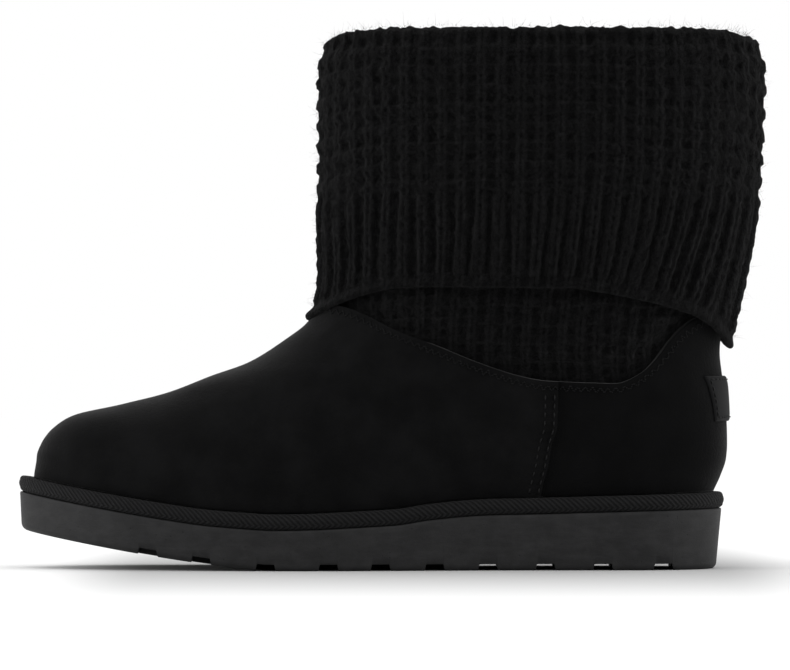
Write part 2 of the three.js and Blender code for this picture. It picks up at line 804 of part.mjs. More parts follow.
const boot = new THREE.Group();
boot.add(sole, bootLeg);
boot.position.x = (-LENGTH * (GROOVES[3] + GROOVES[4])) / 2;

export default boot;
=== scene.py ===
"""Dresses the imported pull-on boot: suede foot, folded knit cuff, bound platform and wedge outsole.

All forms are worked out in millimetres from the boot's own last, with x from the toe of the
outsole to its heel, and are moved into the frame, in metres, when a mesh is made.
"""
import logging
import math
from collections.abc import Callable, Sequence
from dataclasses import dataclass
from enum import Enum
from functools import cached_property
from typing import Any

import bpy
import numpy as np
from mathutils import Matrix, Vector


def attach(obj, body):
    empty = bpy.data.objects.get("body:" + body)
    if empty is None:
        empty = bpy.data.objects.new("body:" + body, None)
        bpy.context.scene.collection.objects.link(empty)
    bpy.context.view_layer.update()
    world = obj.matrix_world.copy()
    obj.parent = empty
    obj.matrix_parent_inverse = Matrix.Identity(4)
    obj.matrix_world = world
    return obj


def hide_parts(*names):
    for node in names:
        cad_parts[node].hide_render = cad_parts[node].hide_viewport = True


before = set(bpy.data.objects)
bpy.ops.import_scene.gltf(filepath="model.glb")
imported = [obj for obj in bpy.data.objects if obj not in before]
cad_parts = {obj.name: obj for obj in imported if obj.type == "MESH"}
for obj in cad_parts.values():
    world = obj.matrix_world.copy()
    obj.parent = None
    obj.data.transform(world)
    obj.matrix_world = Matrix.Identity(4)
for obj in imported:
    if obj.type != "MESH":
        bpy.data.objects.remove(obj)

Array = np.ndarray
Number = float | Array
Triple = tuple[float, float, float]
Level = Callable[[Array], Array]
Place = Callable[[Array, Array], Array]
Layer = tuple[Array, Array, Array, Array]
Stitches = list[tuple[Array, Array, Array]]

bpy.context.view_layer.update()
BODY = "root"
MM = 0.001
TURN = 2 * math.pi
TINY = 1e-9

log = logging.getLogger("boot")


# Numbers and curves


def lerp(start: Number, end: Number, share: Number) -> Number:
    """A share of the way from start to end."""
    return start + (end - start) * share


def ease(x: Number, low: float, high: float) -> Array:
    """Smooth step: 0 below low, 1 above high, and 3t^2 - 2t^3 between."""
    t = np.clip((np.asarray(x, dtype=float) - low) / (high - low), 0.0, 1.0)
    return t * t * (3 - 2 * t)


def close_ends(count: int) -> Array:
    """Shares from 0 to 1 that lie close together at both ends: half of 1 - cos."""
    return (1 - np.cos(math.pi * np.linspace(0, 1, count))) / 2


def running(steps: Array) -> Array:
    """Running sum of some steps, from 0."""
    return np.concatenate([[0.0], np.cumsum(steps)])


def path_lengths(points: Array) -> Array:
    """Length along a path at each of its points."""
    return running(np.linalg.norm(np.diff(points, axis=0), axis=1))


@dataclass(frozen=True)
class SmoothCurve:
    """A curve through rows of a table that never overshoots them."""

    at: Sequence[float]
    value: Sequence[float]

    @cached_property
    def tangents(self) -> Array:
        """Harmonic mean of the slopes on both sides of a row, or 0 where they turn round."""
        slopes = np.diff(self.value) / np.diff(self.at)
        before = np.concatenate([slopes[:1], slopes])
        after = np.concatenate([slopes, slopes[-1:]])
        both = before * after
        total = np.where(both > 0, before + after, 1.0)
        return np.where(both > 0, 2 * both / total, 0.0)

    def __call__(self, x: Number) -> Array:
        """The curve's value, held level past its ends.

        Args:
            x: Where to read the curve.

        Returns:
            The cubic between the two rows around each x.
        """
        at = np.asarray(self.at, dtype=float)
        value = np.asarray(self.value, dtype=float)
        x = np.clip(np.asarray(x, dtype=float), at[0], at[-1])
        i = np.clip(np.searchsorted(at, x, side="right") - 1, 0, len(at) - 2)
        width = at[i + 1] - at[i]
        t = (x - at[i]) / width
        start = (1 + 2 * t) * (1 - t) ** 2 * value[i] + t * (1 - t) ** 2 * width * self.tangents[i]
        end = t**2 * (3 - 2 * t) * value[i + 1] - t**2 * (1 - t) * width * self.tangents[i + 1]
        return start + end


def end_rounding(distance: Number, reach: Number) -> Array:
    """Square of an ellipse's half width at a distance from its end."""
    t = np.clip(distance / reach, 0.0, 1.0)
    return 1 - (1 - t) ** 2


def soft_least(*shares: Number) -> Array:
    """The least of some shares, with soft corners: (sum of s^-2, less count - 1)^-1/2."""
    total = 1.0 - len(shares)
    for share in shares:
        total = total + np.maximum(share, TINY) ** -2.0
    return total**-0.5


@dataclass(frozen=True)
class Ripple:
    """Soft irregular waves: a sum of sines of two coordinates, with seeded phases.

    The first coordinate runs from 0 to 1 around the boot and every wave closes on itself.
    """

    seed: int
    around: tuple[int, int]
    along: tuple[float, float]
    waves: int = 14

    def __call__(self, turn: Array, length: Array) -> Array:
        """Waves of about unit height.

        Args:
            turn: Place around, 0 to 1.
            length: Place along, in millimetres.

        Returns:
            Sum of sin(2 pi (n turn + k length) + phase), divided by the root of the count.
        """
        rng = np.random.default_rng(self.seed)
        total = np.zeros(np.broadcast(turn, length).shape)
        for _ in range(self.waves):
            count = int(rng.integers(self.around[0], self.around[1] + 1)) * (1 if rng.random() < 0.5 else -1)
            rate = rng.uniform(*self.along)
            total = total + np.sin(TURN * (count * turn + rate * length) + rng.uniform(0, TURN))
        return total / math.sqrt(self.waves)


# The boot's last: every outline and level that the pieces share


@dataclass(frozen=True)
class BootLast:
    """The form of foot, shaft and sole, in millimetres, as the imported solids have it."""

    length: float = 275.0
    ball_width: float = 97.0
    fore_thickness: float = 14.8
    heel_thickness: float = 23.7
    toe_spring: float = 15.2
    spring_length: float = 99.0
    spring_power: float = 1.3
    platform_thickness: float = 6.0
    toe_rounding: float = 46.0
    heel_rounding: float = 37.0
    instep_height: float = 119.0
    toe_margin: float = 5.5
    side_margin: float = 4.5
    heel_margin: float = 3.5
    bulge: float = 2.2
    bulge_height: float = 14.0
    collar_height: float = 102.0
    collar_dip_height: float = 72.5
    height: float = 212.0
    shaft_depth: float = 164.4
    shaft_width: float = 86.0
    ankle_width: float = 72.0
    hem_height: float = 109.5
    hem_back_height: float = 87.0
    clearance: float = 0.3
    grooves: tuple[float, ...] = (0.187, 0.2625, 0.353, 0.441, 0.514, 0.59, 0.665, 0.746, 0.827, 0.912)
    arch_power: float = 2.4
    arch_opening: tuple[float, float] = (0.2, 0.6)
    ankle_turn: tuple[float, float] = (0.25, 0.88)
    shaft_turn: tuple[float, float] = (0.6, 1.15)
    end_turn: tuple[float, float] = (0.5, 1.0)
    end_power: int = 40
    ridge_samples: int = 4000
    even_height: float = 165.0
    even_samples: int = 2001
    settling_rounds: int = 30
    feather_guess: float = 35.0
    collar_guess: float = 95.0
    hem_guess: float = 105.0

    half_shares: SmoothCurve = SmoothCurve(
        (0.0, 0.1, 0.2, 0.3, 0.36, 0.45, 0.55, 0.65, 0.76, 1.0),
        (0.37, 0.415, 0.462, 0.495, 0.5, 0.482, 0.43, 0.385, 0.37, 0.37),
    )
    swing_shares: SmoothCurve = SmoothCurve(
        (0.0, 0.1, 0.2, 0.3, 0.36, 0.45, 0.55, 0.65, 0.76, 1.0),
        (0.1, 0.078, 0.046, 0.014, 0.0, -0.012, -0.016, -0.01, 0.0, 0.0),
    )
    wedge_shares: SmoothCurve = SmoothCurve(
        (0.0, 0.25, 0.335, 0.4, 0.48, 0.538, 0.58, 0.66, 0.735, 0.845, 1.0),
        (0.0, 0.0, 0.08, 0.1, 0.21, 0.32, 0.52, 0.73, 0.78, 0.87, 1.0),
    )
    vamp_shares: SmoothCurve = SmoothCurve(
        (0.0, 0.1, 0.155, 0.211, 0.267, 0.296, 0.323, 0.351, 0.38,
         0.436, 0.492, 0.547, 0.603, 0.668, 0.72, 0.785, 0.87, 1.0),
        (0.0, 0.004, 0.018, 0.045, 0.096, 0.14, 0.211, 0.309, 0.404,
         0.526, 0.635, 0.733, 0.811, 0.879, 0.925, 0.962, 0.986, 1.0),
    )
    heel_shares: SmoothCurve = SmoothCurve(
        (0.0, 0.066, 0.145, 0.207, 0.355, 0.45, 0.52, 0.615, 0.694, 0.785, 0.898, 1.0),
        (-0.0135, -0.004, 0.0045, 0.006, 0.0048, 0.003, -0.0005, -0.0036, -0.0022, 0.003, 0.0105, 0.0165),
    )
    lean_shares: SmoothCurve = SmoothCurve(
        (0.0, 0.104, 0.258, 0.505, 0.763, 1.0), (0.0165, 0.023, 0.03, 0.036, 0.0392, 0.04)
    )
    depth_shares: SmoothCurve = SmoothCurve(
        (0.0, 0.104, 0.258, 0.505, 0.763, 1.0), (0.968, 0.976, 0.984, 0.993, 0.999, 1.0)
    )
    collar_shares: SmoothCurve = SmoothCurve(
        (0.4, 0.432, 0.4625, 0.5406, 0.5973, 0.6541, 0.711, 0.7463,
         0.8, 0.845, 0.8811, 0.9024, 0.9208, 0.945, 0.9663, 1.02),
        (1.04, 1.055, 1.01, 0.685, 0.48, 0.264, 0.095, 0.034,
         0.01, 0.0, 0.146, 0.332, 0.542, 0.756, 0.864, 0.95),
    )
    hem_shares: SmoothCurve = SmoothCurve(
        (0.4, 0.4796, 0.5406, 0.6115, 0.7676, 0.8244, 0.8882, 0.9194, 0.9506, 0.975, 1.0, 1.03),
        (0.37, 0.78, 0.96, 0.99, 1.0, 0.9, 0.73, 0.62, 0.48, 0.27, -0.1, -0.2),
    )
    seam_shares: SmoothCurve = SmoothCurve(
        (0.0, 0.095, 0.259, 0.459, 0.6075, 0.936, 1.1),
        (0.7392, 0.7421, 0.7492, 0.7548, 0.762, 0.7634, 0.7634),
    )

    @property
    def origin_x(self) -> float:
        """Place of the frame's origin: the tread block between the fourth and fifth groove."""
        return self.length * (self.grooves[3] + self.grooves[4]) / 2

    def sole_half_width(self, x: Number) -> Array:
        """Half width of the sole before its ends are rounded."""
        return self.ball_width * self.half_shares(x / self.length)

    def sole_centre(self, x: Number) -> Array:
        """Centre line of the foot, which swings to the inner side at the toe."""
        return self.ball_width * self.swing_shares(x / self.length)

    def tread_height(self, x: Number) -> Array:
        """Underside: flat behind the ball, lifted by a power of the distance to the toe."""
        lift = np.clip((self.spring_length - x) / self.spring_length, 0.0, 1.0)
        return self.toe_spring * lift**self.spring_power

    def outsole_top(self, x: Number) -> Array:
        """Top of the outsole: the tread plus a wedge that grows to the heel."""
        thickness = lerp(self.fore_thickness, self.heel_thickness, self.wedge_shares(x / self.length))
        return self.tread_height(x) + thickness

    def platform_top(self, x: Number) -> Array:
        """Top of the bound board."""
        return self.outsole_top(x) + self.clearance + self.platform_thickness

    def feather_height(self, x: Number) -> Array:
        """Where the upper's wall meets the board."""
        return self.platform_top(x) + self.clearance

    def side_line(self, back: bool) -> SmoothCurve:
        """Front or back line of foot and shaft, as x over height.

        Args:
            back: True for the heel's line, False for the vamp's.

        Returns:
            A curve that joins the foot's rows to the shaft's.
        """
        rise = np.array(self.lean_shares.at[1:])
        shaft_z = lerp(self.instep_height, self.height, rise)
        shaft_back = self.length * (1 + np.array(self.lean_shares.value))
        shaft_front = shaft_back - self.shaft_depth * np.array(self.depth_shares.value)
        if back:
            foot = float(self.feather_height(self.length - self.heel_margin))
            z = lerp(foot, self.instep_height, np.array(self.heel_shares.at))
            x = self.length * (1 + np.array(self.heel_shares.value))
            return SmoothCurve([*z, *shaft_z], [*x, *shaft_back[1:]])
        foot = float(self.feather_height(self.toe_margin))
        z = lerp(foot, self.instep_height, np.array(self.vamp_shares.at))
        x = lerp(self.toe_margin, shaft_front[0], np.array(self.vamp_shares.value))
        return SmoothCurve([*z, *shaft_z], [*x, *shaft_front[1:]])

    @cached_property
    def front_line(self) -> SmoothCurve:
        """Line of toe, vamp, instep and shaft front."""
        return self.side_line(back=False)

    @cached_property
    def back_line(self) -> SmoothCurve:
        """Line of heel and shaft back."""
        return self.side_line(back=True)

    @cached_property
    def ridge_table(self) -> tuple[Array, Array]:
        """Samples of the front line, to read its height at an x."""
        z = np.linspace(self.front_line.at[0], self.instep_height, self.ridge_samples)
        return self.front_line(z), z

    def ridge_height(self, x: Number) -> Array:
        """Height of the vamp's ridge, no higher than the instep."""
        return np.interp(x, *self.ridge_table)

    def turned(self, z: Number, turn: tuple[float, float]) -> Array:
        """How far a height is through one of the turns from foot to shaft."""
        return ease(z, turn[0] * self.instep_height, turn[1] * self.instep_height)

    def collar_at(self, x: Number) -> Array:
        """Height of the suede's scalloped edge."""
        return lerp(self.collar_dip_height, self.collar_height, self.collar_shares(x / self.length))

    def hem_at(self, x: Number) -> Array:
        """Height of the cuff's lower edge."""
        return lerp(self.hem_back_height, self.hem_height, self.hem_shares(x / self.length))

    def seam_at(self, z: Number) -> Array:
        """Place of the side seam at a height."""
        foot = float(self.feather_height(self.length * self.seam_shares.value[0]))
        return self.length * self.seam_shares((z - foot) / (self.collar_dip_height - foot))

    def skin_half_width(self, x: Array, z: Array) -> Array:
        """Half width of the upper's skin.

        The foot's width turns into the ankle's and the shaft's, times the root of the soft
        least of three shares: the arch under the ridge and the two rounded ends.

        Args:
            x: Place along the boot.
            z: Height.

        Returns:
            Half width at each place.
        """
        feather = self.feather_height(x)
        above = np.maximum(z - feather, 0.0)
        swell = self.bulge * (above / self.bulge_height) * np.exp(1 - above / self.bulge_height)
        foot = self.sole_half_width(x) - self.side_margin + swell
        leg = lerp(self.ankle_width, self.shaft_width, self.turned(z, self.shaft_turn)) / 2
        ankle = self.turned(z, self.ankle_turn)
        width = lerp(foot, leg, ankle)
        opened = ease(x / self.length, *self.arch_opening)
        closing = np.clip(above * (1 - opened) / (self.ridge_height(x) - feather), 0, 1) ** self.arch_power
        arch = 1 - closing * (1 - opened * ankle)
        ends = self.turned(z, self.end_turn)
        nose = lerp(self.toe_rounding - self.toe_margin, self.shaft_depth / 2, ends)
        tail = lerp(self.heel_rounding - self.heel_margin, self.shaft_depth / 2, ends)
        front = end_rounding(x - self.front_line(z), nose)
        back = end_rounding(self.back_line(z) - x, tail)
        return width * np.sqrt(soft_least(arch, front, back))

    def skin_centre(self, x: Array, z: Array) -> Array:
        """Centre line of the skin's section, straight in the shaft."""
        return self.sole_centre(x) * (1 - self.turned(z, self.ankle_turn))

    def place_of(self, angle: Array, z: Array) -> Array:
        """Place along the boot of an angle around the section, 0 at its front."""
        return lerp(self.front_line(z), self.back_line(z), (1 - np.cos(angle)) / 2)

    def angle_of(self, x: Array, z: Array) -> Array:
        """Angle of a place on the outer side."""
        front = self.front_line(z)
        share = (x - front) / (self.back_line(z) - front)
        return np.arccos(np.clip(1 - 2 * share, -1.0, 1.0))

    def skin_point(self, angle: Array, z: Array) -> Array:
        """Point of the skin: the first half turn is the outer side, the second the inner."""
        x = self.place_of(angle, z)
        side = np.where(np.sin(angle) < 0, 1.0, -1.0)
        y = self.skin_centre(x, z) + side * self.skin_half_width(x, z)
        return np.stack(np.broadcast_arrays(x, y, z), axis=-1)

    def even_angles(self, count: int) -> Array:
        """Angles at even steps of length around the skin's section at one height."""
        fine = np.linspace(0.0, TURN, self.even_samples)
        length = path_lengths(self.skin_point(fine, np.full_like(fine, self.even_height)))
        return np.interp(np.arange(count) / count * length[-1], length, fine)

    def outward(self, angle: Array, z: Array) -> Array:
        """Unit normal of the skin: the cross product of its two tangents."""
        turn, lift = 0.02, 0.4
        around = self.skin_point(angle + turn, z) - self.skin_point(angle - turn, z)
        up = self.skin_point(angle, z + lift) - self.skin_point(angle, z - lift)
        normal = np.cross(around, up)
        return normal / np.linalg.norm(normal, axis=-1, keepdims=True)

    def offset_point(self, angle: Array, z: Array, distance: Array) -> Array:
        """Point at a distance outside the skin."""
        angle, z, distance = np.broadcast_arrays(angle, z, distance)
        return self.skin_point(angle, z) + self.outward(angle, z) * distance[..., None]

    def settle(self, place: Level, level: Level, start: Array) -> Array:
        """Height that depends on the place, where the place depends on the height."""
        z = start
        for _ in range(self.settling_rounds):
            z = (z + level(place(z))) / 2
        return z

    def sole_station(self, share: Array, toe: float, side: float, heel: float) -> tuple[Array, Array, Array]:
        """Points across the sole at an inset from its outline.

        x is the share of the length, drawn in by the insets only close to the two ends.

        Args:
            share: Shares of the way from toe to heel.
            toe: Inset at the toe.
            side: Inset at the sides.
            heel: Inset at the heel.

        Returns:
            x, the centre line and the half width.
        """
        x = self.length * share + toe * (1 - share) ** self.end_power - heel * share**self.end_power
        nose = end_rounding(x - toe, self.toe_rounding - toe)
        tail = end_rounding(self.length - heel - x, self.heel_rounding - heel)
        half = (self.sole_half_width(x) - side) * np.sqrt(soft_least(nose, tail))
        return x, self.sole_centre(x), half

    def to_frame(self, points: Array) -> Array:
        """Millimetres along the last, as metres in the frame."""
        return (points - np.array([self.origin_x, 0.0, 0.0])) * MM


# Meshes from grids of points


def signed_volume(points: Array, faces: Array) -> float:
    """Six times the volume inside the faces, from their first three corners."""
    a, b, c = (points[faces[:, i]] for i in range(3))
    return float(np.einsum("ij,ij->", a, np.cross(b, c)))


def halves(quads: Array) -> Array:
    """Both triangles of every quad."""
    return np.concatenate([quads[:, [0, 1, 2]], quads[:, [0, 2, 3]]])


def make_mesh(name: str, points: Array, faces: Array, uvs: Array | None = None) -> bpy.types.Object:
    """A smooth mesh object from arrays, at the origin.

    Args:
        name: Name of the piece.
        points: Vertices in metres, (n, 3).
        faces: Corner indices, (m, 3) or (m, 4).
        uvs: One uv pair for each corner, (m, corners, 2).

    Returns:
        The object, linked to the scene.
    """
    mesh = bpy.data.meshes.new(name)
    corners = faces.shape[1]
    mesh.vertices.add(len(points))
    mesh.vertices.foreach_set("co", points.astype(np.float32).ravel())
    mesh.loops.add(faces.size)
    mesh.loops.foreach_set("vertex_index", faces.astype(np.int32).ravel())
    mesh.polygons.add(len(faces))
    mesh.polygons.foreach_set("loop_start", np.arange(0, faces.size, corners, dtype=np.int32))
    mesh.polygons.foreach_set("use_smooth", np.ones(len(faces), dtype=bool))
    if uvs is not None:
        layer = mesh.uv_layers.new(name="UVMap")
        layer.data.foreach_set("uv", uvs.astype(np.float32).ravel())
    mesh.update(calc_edges=True)
    mesh.validate()
    piece = bpy.data.objects.new(name, mesh)
    bpy.context.scene.collection.objects.link(piece)
    return piece


def grid_faces(rows: int, columns: int, wrap_rows: bool) -> tuple[Array, Array]:
    """Quads between neighbouring points of a grid whose last column joins the first.

    Args:
        rows: Rows of points.
        columns: Columns of points.
        wrap_rows: Whether the last row joins the first.

    Returns:
        Corner indices (m, 4), and each corner's unwrapped row and column (m, 4, 2).
    """
    r, c = np.meshgrid(np.arange(rows if wrap_rows else rows - 1), np.arange(columns), indexing="ij")
    r, c = r.ravel(), c.ravel()
    corner_rows = np.stack([r, r, r + 1, r + 1], axis=1)
    corner_columns = np.stack([c, c + 1, c + 1, c], axis=1)
    faces = (corner_rows % rows) * columns + corner_columns % columns
    return faces, np.stack([corner_rows, corner_columns], axis=2)


def closed_mesh(name: str, points: Array, faces: Array, uvs: Array) -> bpy.types.Object:
    """A closed mesh in the frame, with its faces turned outward.

    Args:
        name: Name of the piece.
        points: Vertices in millimetres, (n, 3).
        faces: Corner indices, all turned the same way, (m, 3) or (m, 4).
        uvs: One uv pair for each corner, (m, corners, 2).

    Returns:
        The mesh object.
    """
    points = LAST.to_frame(points)
    if signed_volume(points, faces) < 0:
        faces, uvs = faces[:, ::-1], uvs[:, ::-1]
    return make_mesh(name, points, faces, uvs)


def grid_uvs(corners: Array, u: Array, v: Array) -> Array:
    """A uv pair for each corner: u of its column and v of its row."""
    return np.stack([u[corners[..., 1]], v[corners[..., 0]]], axis=2)


def ring_body(name: str, rings: Array, u: Array, v: Array) -> bpy.types.Object:
    """A hollow body from closed rings, with one more u and v than columns and rows."""
    faces, corners = grid_faces(*rings.shape[:2], True)
    return closed_mesh(name, rings.reshape(-1, 3), faces, grid_uvs(corners, u, v))


def end_strips(rows: int, count: int, shift: int) -> Array:
    """Quads from edge to edge that close the first and the last ring of a plate.

    Args:
        rows: Number of rings.
        count: Points of a ring, there along one edge and back along the other.
        shift: 0 where the edges share their end points, 1 where each has its own.

    Returns:
        Corner indices, (m, 4).
    """
    near = np.arange(count // 2 - shift)
    mirror = (count - shift - near) % count
    strip = np.stack([near, near + 1, (mirror - 1) % count, mirror], axis=1)
    return np.concatenate([strip[:, ::-1], strip + (rows - 1) * count])


def capped_body(name: str, rings: Array, u: Array, v: Array, shift: int) -> bpy.types.Object:
    """A plate from rings, closed by strips. A quad with a doubled corner becomes a triangle.

    Args:
        name: Name of the piece.
        rings: Points in millimetres, (rows, columns, 3).
        u: Coordinate around for each column and the wrapped one.
        v: Coordinate along for each row.
        shift: 0 where the two edges of a ring share their end points, otherwise 1.

    Returns:
        The mesh object, with u and v as its uv map.
    """
    rows, count = rings.shape[:2]
    faces, corners = grid_faces(rows, count, False)
    strips = end_strips(rows, count, shift)
    uvs = np.concatenate([grid_uvs(corners, u, v), np.zeros((len(strips), 4, 2))])
    faces = np.concatenate([faces, strips])
    pointed = (faces[:, 0] == faces[:, 3]) | (faces[:, 1] == faces[:, 2])
    sharp = faces[pointed]
    at_start = sharp[:, 0] == sharp[:, 3]
    sharp = np.where(at_start[:, None], sharp[:, [0, 1, 2]], sharp[:, [0, 1, 3]])
    flat = np.concatenate([halves(faces[~pointed]), sharp])
    flat_uvs = np.concatenate([halves(uvs[~pointed]), np.zeros((len(sharp), 3, 2))])
    return closed_mesh(name, rings.reshape(-1, 3), flat, flat_uvs)


def plate_body(name: str, layers: Sequence[Layer]) -> bpy.types.Object:
    """A plate whose layers are outlines from toe to heel.

    Args:
        name: Name of the piece.
        layers: x, centre, half width and height of each layer's stations, bottom first.

    Returns:
        The mesh object, with the length around and the height up the wall as its uv map.
    """
    x, centre, half, z = (np.stack([layer[i] for layer in layers]) for i in range(4))
    low = np.stack([x, centre - half, z], axis=-1)
    high = np.stack([x, centre + half, z], axis=-1)
    rings = np.concatenate([low, high[:, -2:0:-1]], axis=1)
    widest = rings[int(np.argmax(half.max(axis=1)))]
    around = path_lengths(np.concatenate([widest, widest[:1]]))
    up = running(np.abs(np.diff(z.mean(axis=1))) + np.abs(np.diff(half.max(axis=1))))
    return capped_body(name, rings, around, up, 0)


def tubes(
    name: str, centres: Array, side: Array, other: Array, radii: Array, sides: int
) -> bpy.types.Object:
    """Many closed tubes in one mesh.

    A tube's point is centre(t) + radius(t) (cos a side + sin a other), and fans close its ends.

    Args:
        name: Name of the piece.
        centres: Points along each tube, in millimetres, (tubes, rings, 3).
        side: One direction across each tube, (tubes, 3).
        other: The other direction across it, (tubes, 3).
        radii: Radius at each ring.
        sides: Points around a ring.

    Returns:
        The mesh object.
    """
    count, rings = centres.shape[:2]
    angle = (np.arange(sides) / sides * TURN)[:, None]
    across = side[:, None] * np.cos(angle) + other[:, None] * np.sin(angle)
    points = centres[:, :, None] + across[:, None] * radii[:, None, None]
    walls, _ = grid_faces(rings, sides, False)
    fan = np.arange(1, sides - 1)
    lower = np.stack([np.zeros_like(fan), fan + 1, fan], axis=1)
    one = np.concatenate([halves(walls), lower, lower[:, ::-1] + (rings - 1) * sides])
    every = (one + (np.arange(count) * rings * sides)[:, None, None]).reshape(-1, 3)
    return closed_mesh(name, points.reshape(-1, 3), every, np.zeros((len(every), 3, 2)))


def between_knots(points: Array, normals: Array, gap: float) -> tuple[Array, Array, Array]:
    """Starts, ends and normals of a row's stitches, with a share of each step free at its ends."""
    free = (points[1:] - points[:-1]) * gap
    return points[:-1] + free, points[1:] - free, normals[:-1]


def stitch_body(name: str, rows: Stitches, radius: float) -> bpy.types.Object:
    """Many short threads, each a capsule whose ends dip into the cloth.

    A thread's centre is lerp(start, end, t) + radius (rise sin(pi t) - sink) normal.

    Args:
        name: Name of the piece.
        rows: Starts, ends and normals of each row's stitches.
        radius: Radius of the thread in millimetres.

    Returns:
        One joined mesh object.
    """
    starts, ends, normals = (np.concatenate(parts) for parts in zip(*rows))
    sides, rings, rise, sink = 6, 6, 1.3, 0.55
    end_share, fullness, least = 0.06, 2.2, 0.2
    t = np.linspace(0.0, 1.0, rings)
    lift = radius * (rise * np.sin(math.pi * t) - sink)
    swell = fullness * np.sin(math.pi * np.clip(t, end_share, 1 - end_share))
    run = ends - starts
    centres = starts[:, None] + run[:, None] * t[:, None] + normals[:, None] * lift[:, None]
    side = np.cross(run / np.linalg.norm(run, axis=1, keepdims=True), normals)
    return tubes(name, centres, side, normals, radius * np.clip(swell, least, 1.0), sides)


def fibre_body(name: str, roots: Array, leans: Array, curls: Array, radius: float) -> bpy.types.Object:
    """Many fine loose fibres, each a curved three-sided cone.

    A fibre's centre is root + t lean + t^2 curl, and its radius falls from the root to the tip.

    Args:
        name: Name of the piece.
        roots: Where they leave the yarn, in millimetres, (n, 3).
        leans: Their first direction times their length, (n, 3).
        curls: Their bend, (n, 3).
        radius: Radius at the root in millimetres.

    Returns:
        One joined mesh object.
    """
    sides, rings, tip, any_way = 3, 5, 0.2, np.array([0.31, 0.57, 0.76])
    t = np.linspace(0.0, 1.0, rings)
    centres = roots[:, None] + leans[:, None] * t[:, None] + curls[:, None] * t[:, None] ** 2
    axis = leans / np.linalg.norm(leans, axis=1, keepdims=True)
    side = np.cross(axis, any_way)
    side /= np.linalg.norm(side, axis=1, keepdims=True)
    return tubes(name, centres, side, np.cross(axis, side), radius * lerp(1.0, tip, t), sides)


# Materials


class Strand:
    """A number that varies over a surface, for use in expressions."""

    def __init__(self, dye: "Dye", socket: bpy.types.NodeSocket) -> None:
        """Wraps one output socket."""
        self.dye = dye
        self.socket = socket

    def math(self, operation: str, *others: "Strand | float", reflected: bool = False) -> "Strand":
        """Adds a Math node on this value and others."""
        values = [self, *others]
        return self.dye.math(operation, *(values[::-1] if reflected else values))

    def __add__(self, other: "Strand | float") -> "Strand":
        """Sum."""
        return self.math("ADD", other)

    __radd__ = __add__

    def __mul__(self, other: "Strand | float") -> "Strand":
        """Product."""
        return self.math("MULTIPLY", other)

    __rmul__ = __mul__

    def __sub__(self, other: "Strand | float") -> "Strand":
        """Difference."""
        return self.math("SUBTRACT", other)

    def __rsub__(self, other: "Strand | float") -> "Strand":
        """Difference from a number."""
        return self.math("SUBTRACT", other, reflected=True)

    def __truediv__(self, other: "Strand | float") -> "Strand":
        """Quotient."""
        return self.math("DIVIDE", other)

    def __pow__(self, other: "Strand | float") -> "Strand":
        """Power."""
        return self.math("POWER", other)

    def absolute(self) -> "Strand":
        """Value without its sign."""
        return self.math("ABSOLUTE")

    def fraction(self) -> "Strand":
        """Part after the point."""
        return self.math("FRACT")

    def sine(self) -> "Strand":
        """Sine."""
        return self.math("SINE")

    def larger(self, other: "Strand | float") -> "Strand":
        """The larger of two."""
        return self.math("MAXIMUM", other)

    def smaller(self, other: "Strand | float") -> "Strand":
        """The smaller of two."""
        return self.math("MINIMUM", other)

    def step(self, low: float, high: float) -> "Strand":
        """Smooth step.

        Args:
            low: Where it starts to rise from 0.
            high: Where it reaches 1.

        Returns:
            The step's value.
        """
        node = self.dye.node(
            "ShaderNodeMapRange",
            {"interpolation_type": "SMOOTHSTEP", "clamp": True},
            {"Value": self, "From Min": low, "From Max": high},
        )
        return Strand(self.dye, node.outputs["Result"])

    def wave(self) -> "Strand":
        """Sine from 0 to 1 of a number of turns."""
        return (self * TURN).sine() * 0.5 + 0.5


Input = Strand | float | Sequence[float] | bpy.types.NodeSocket


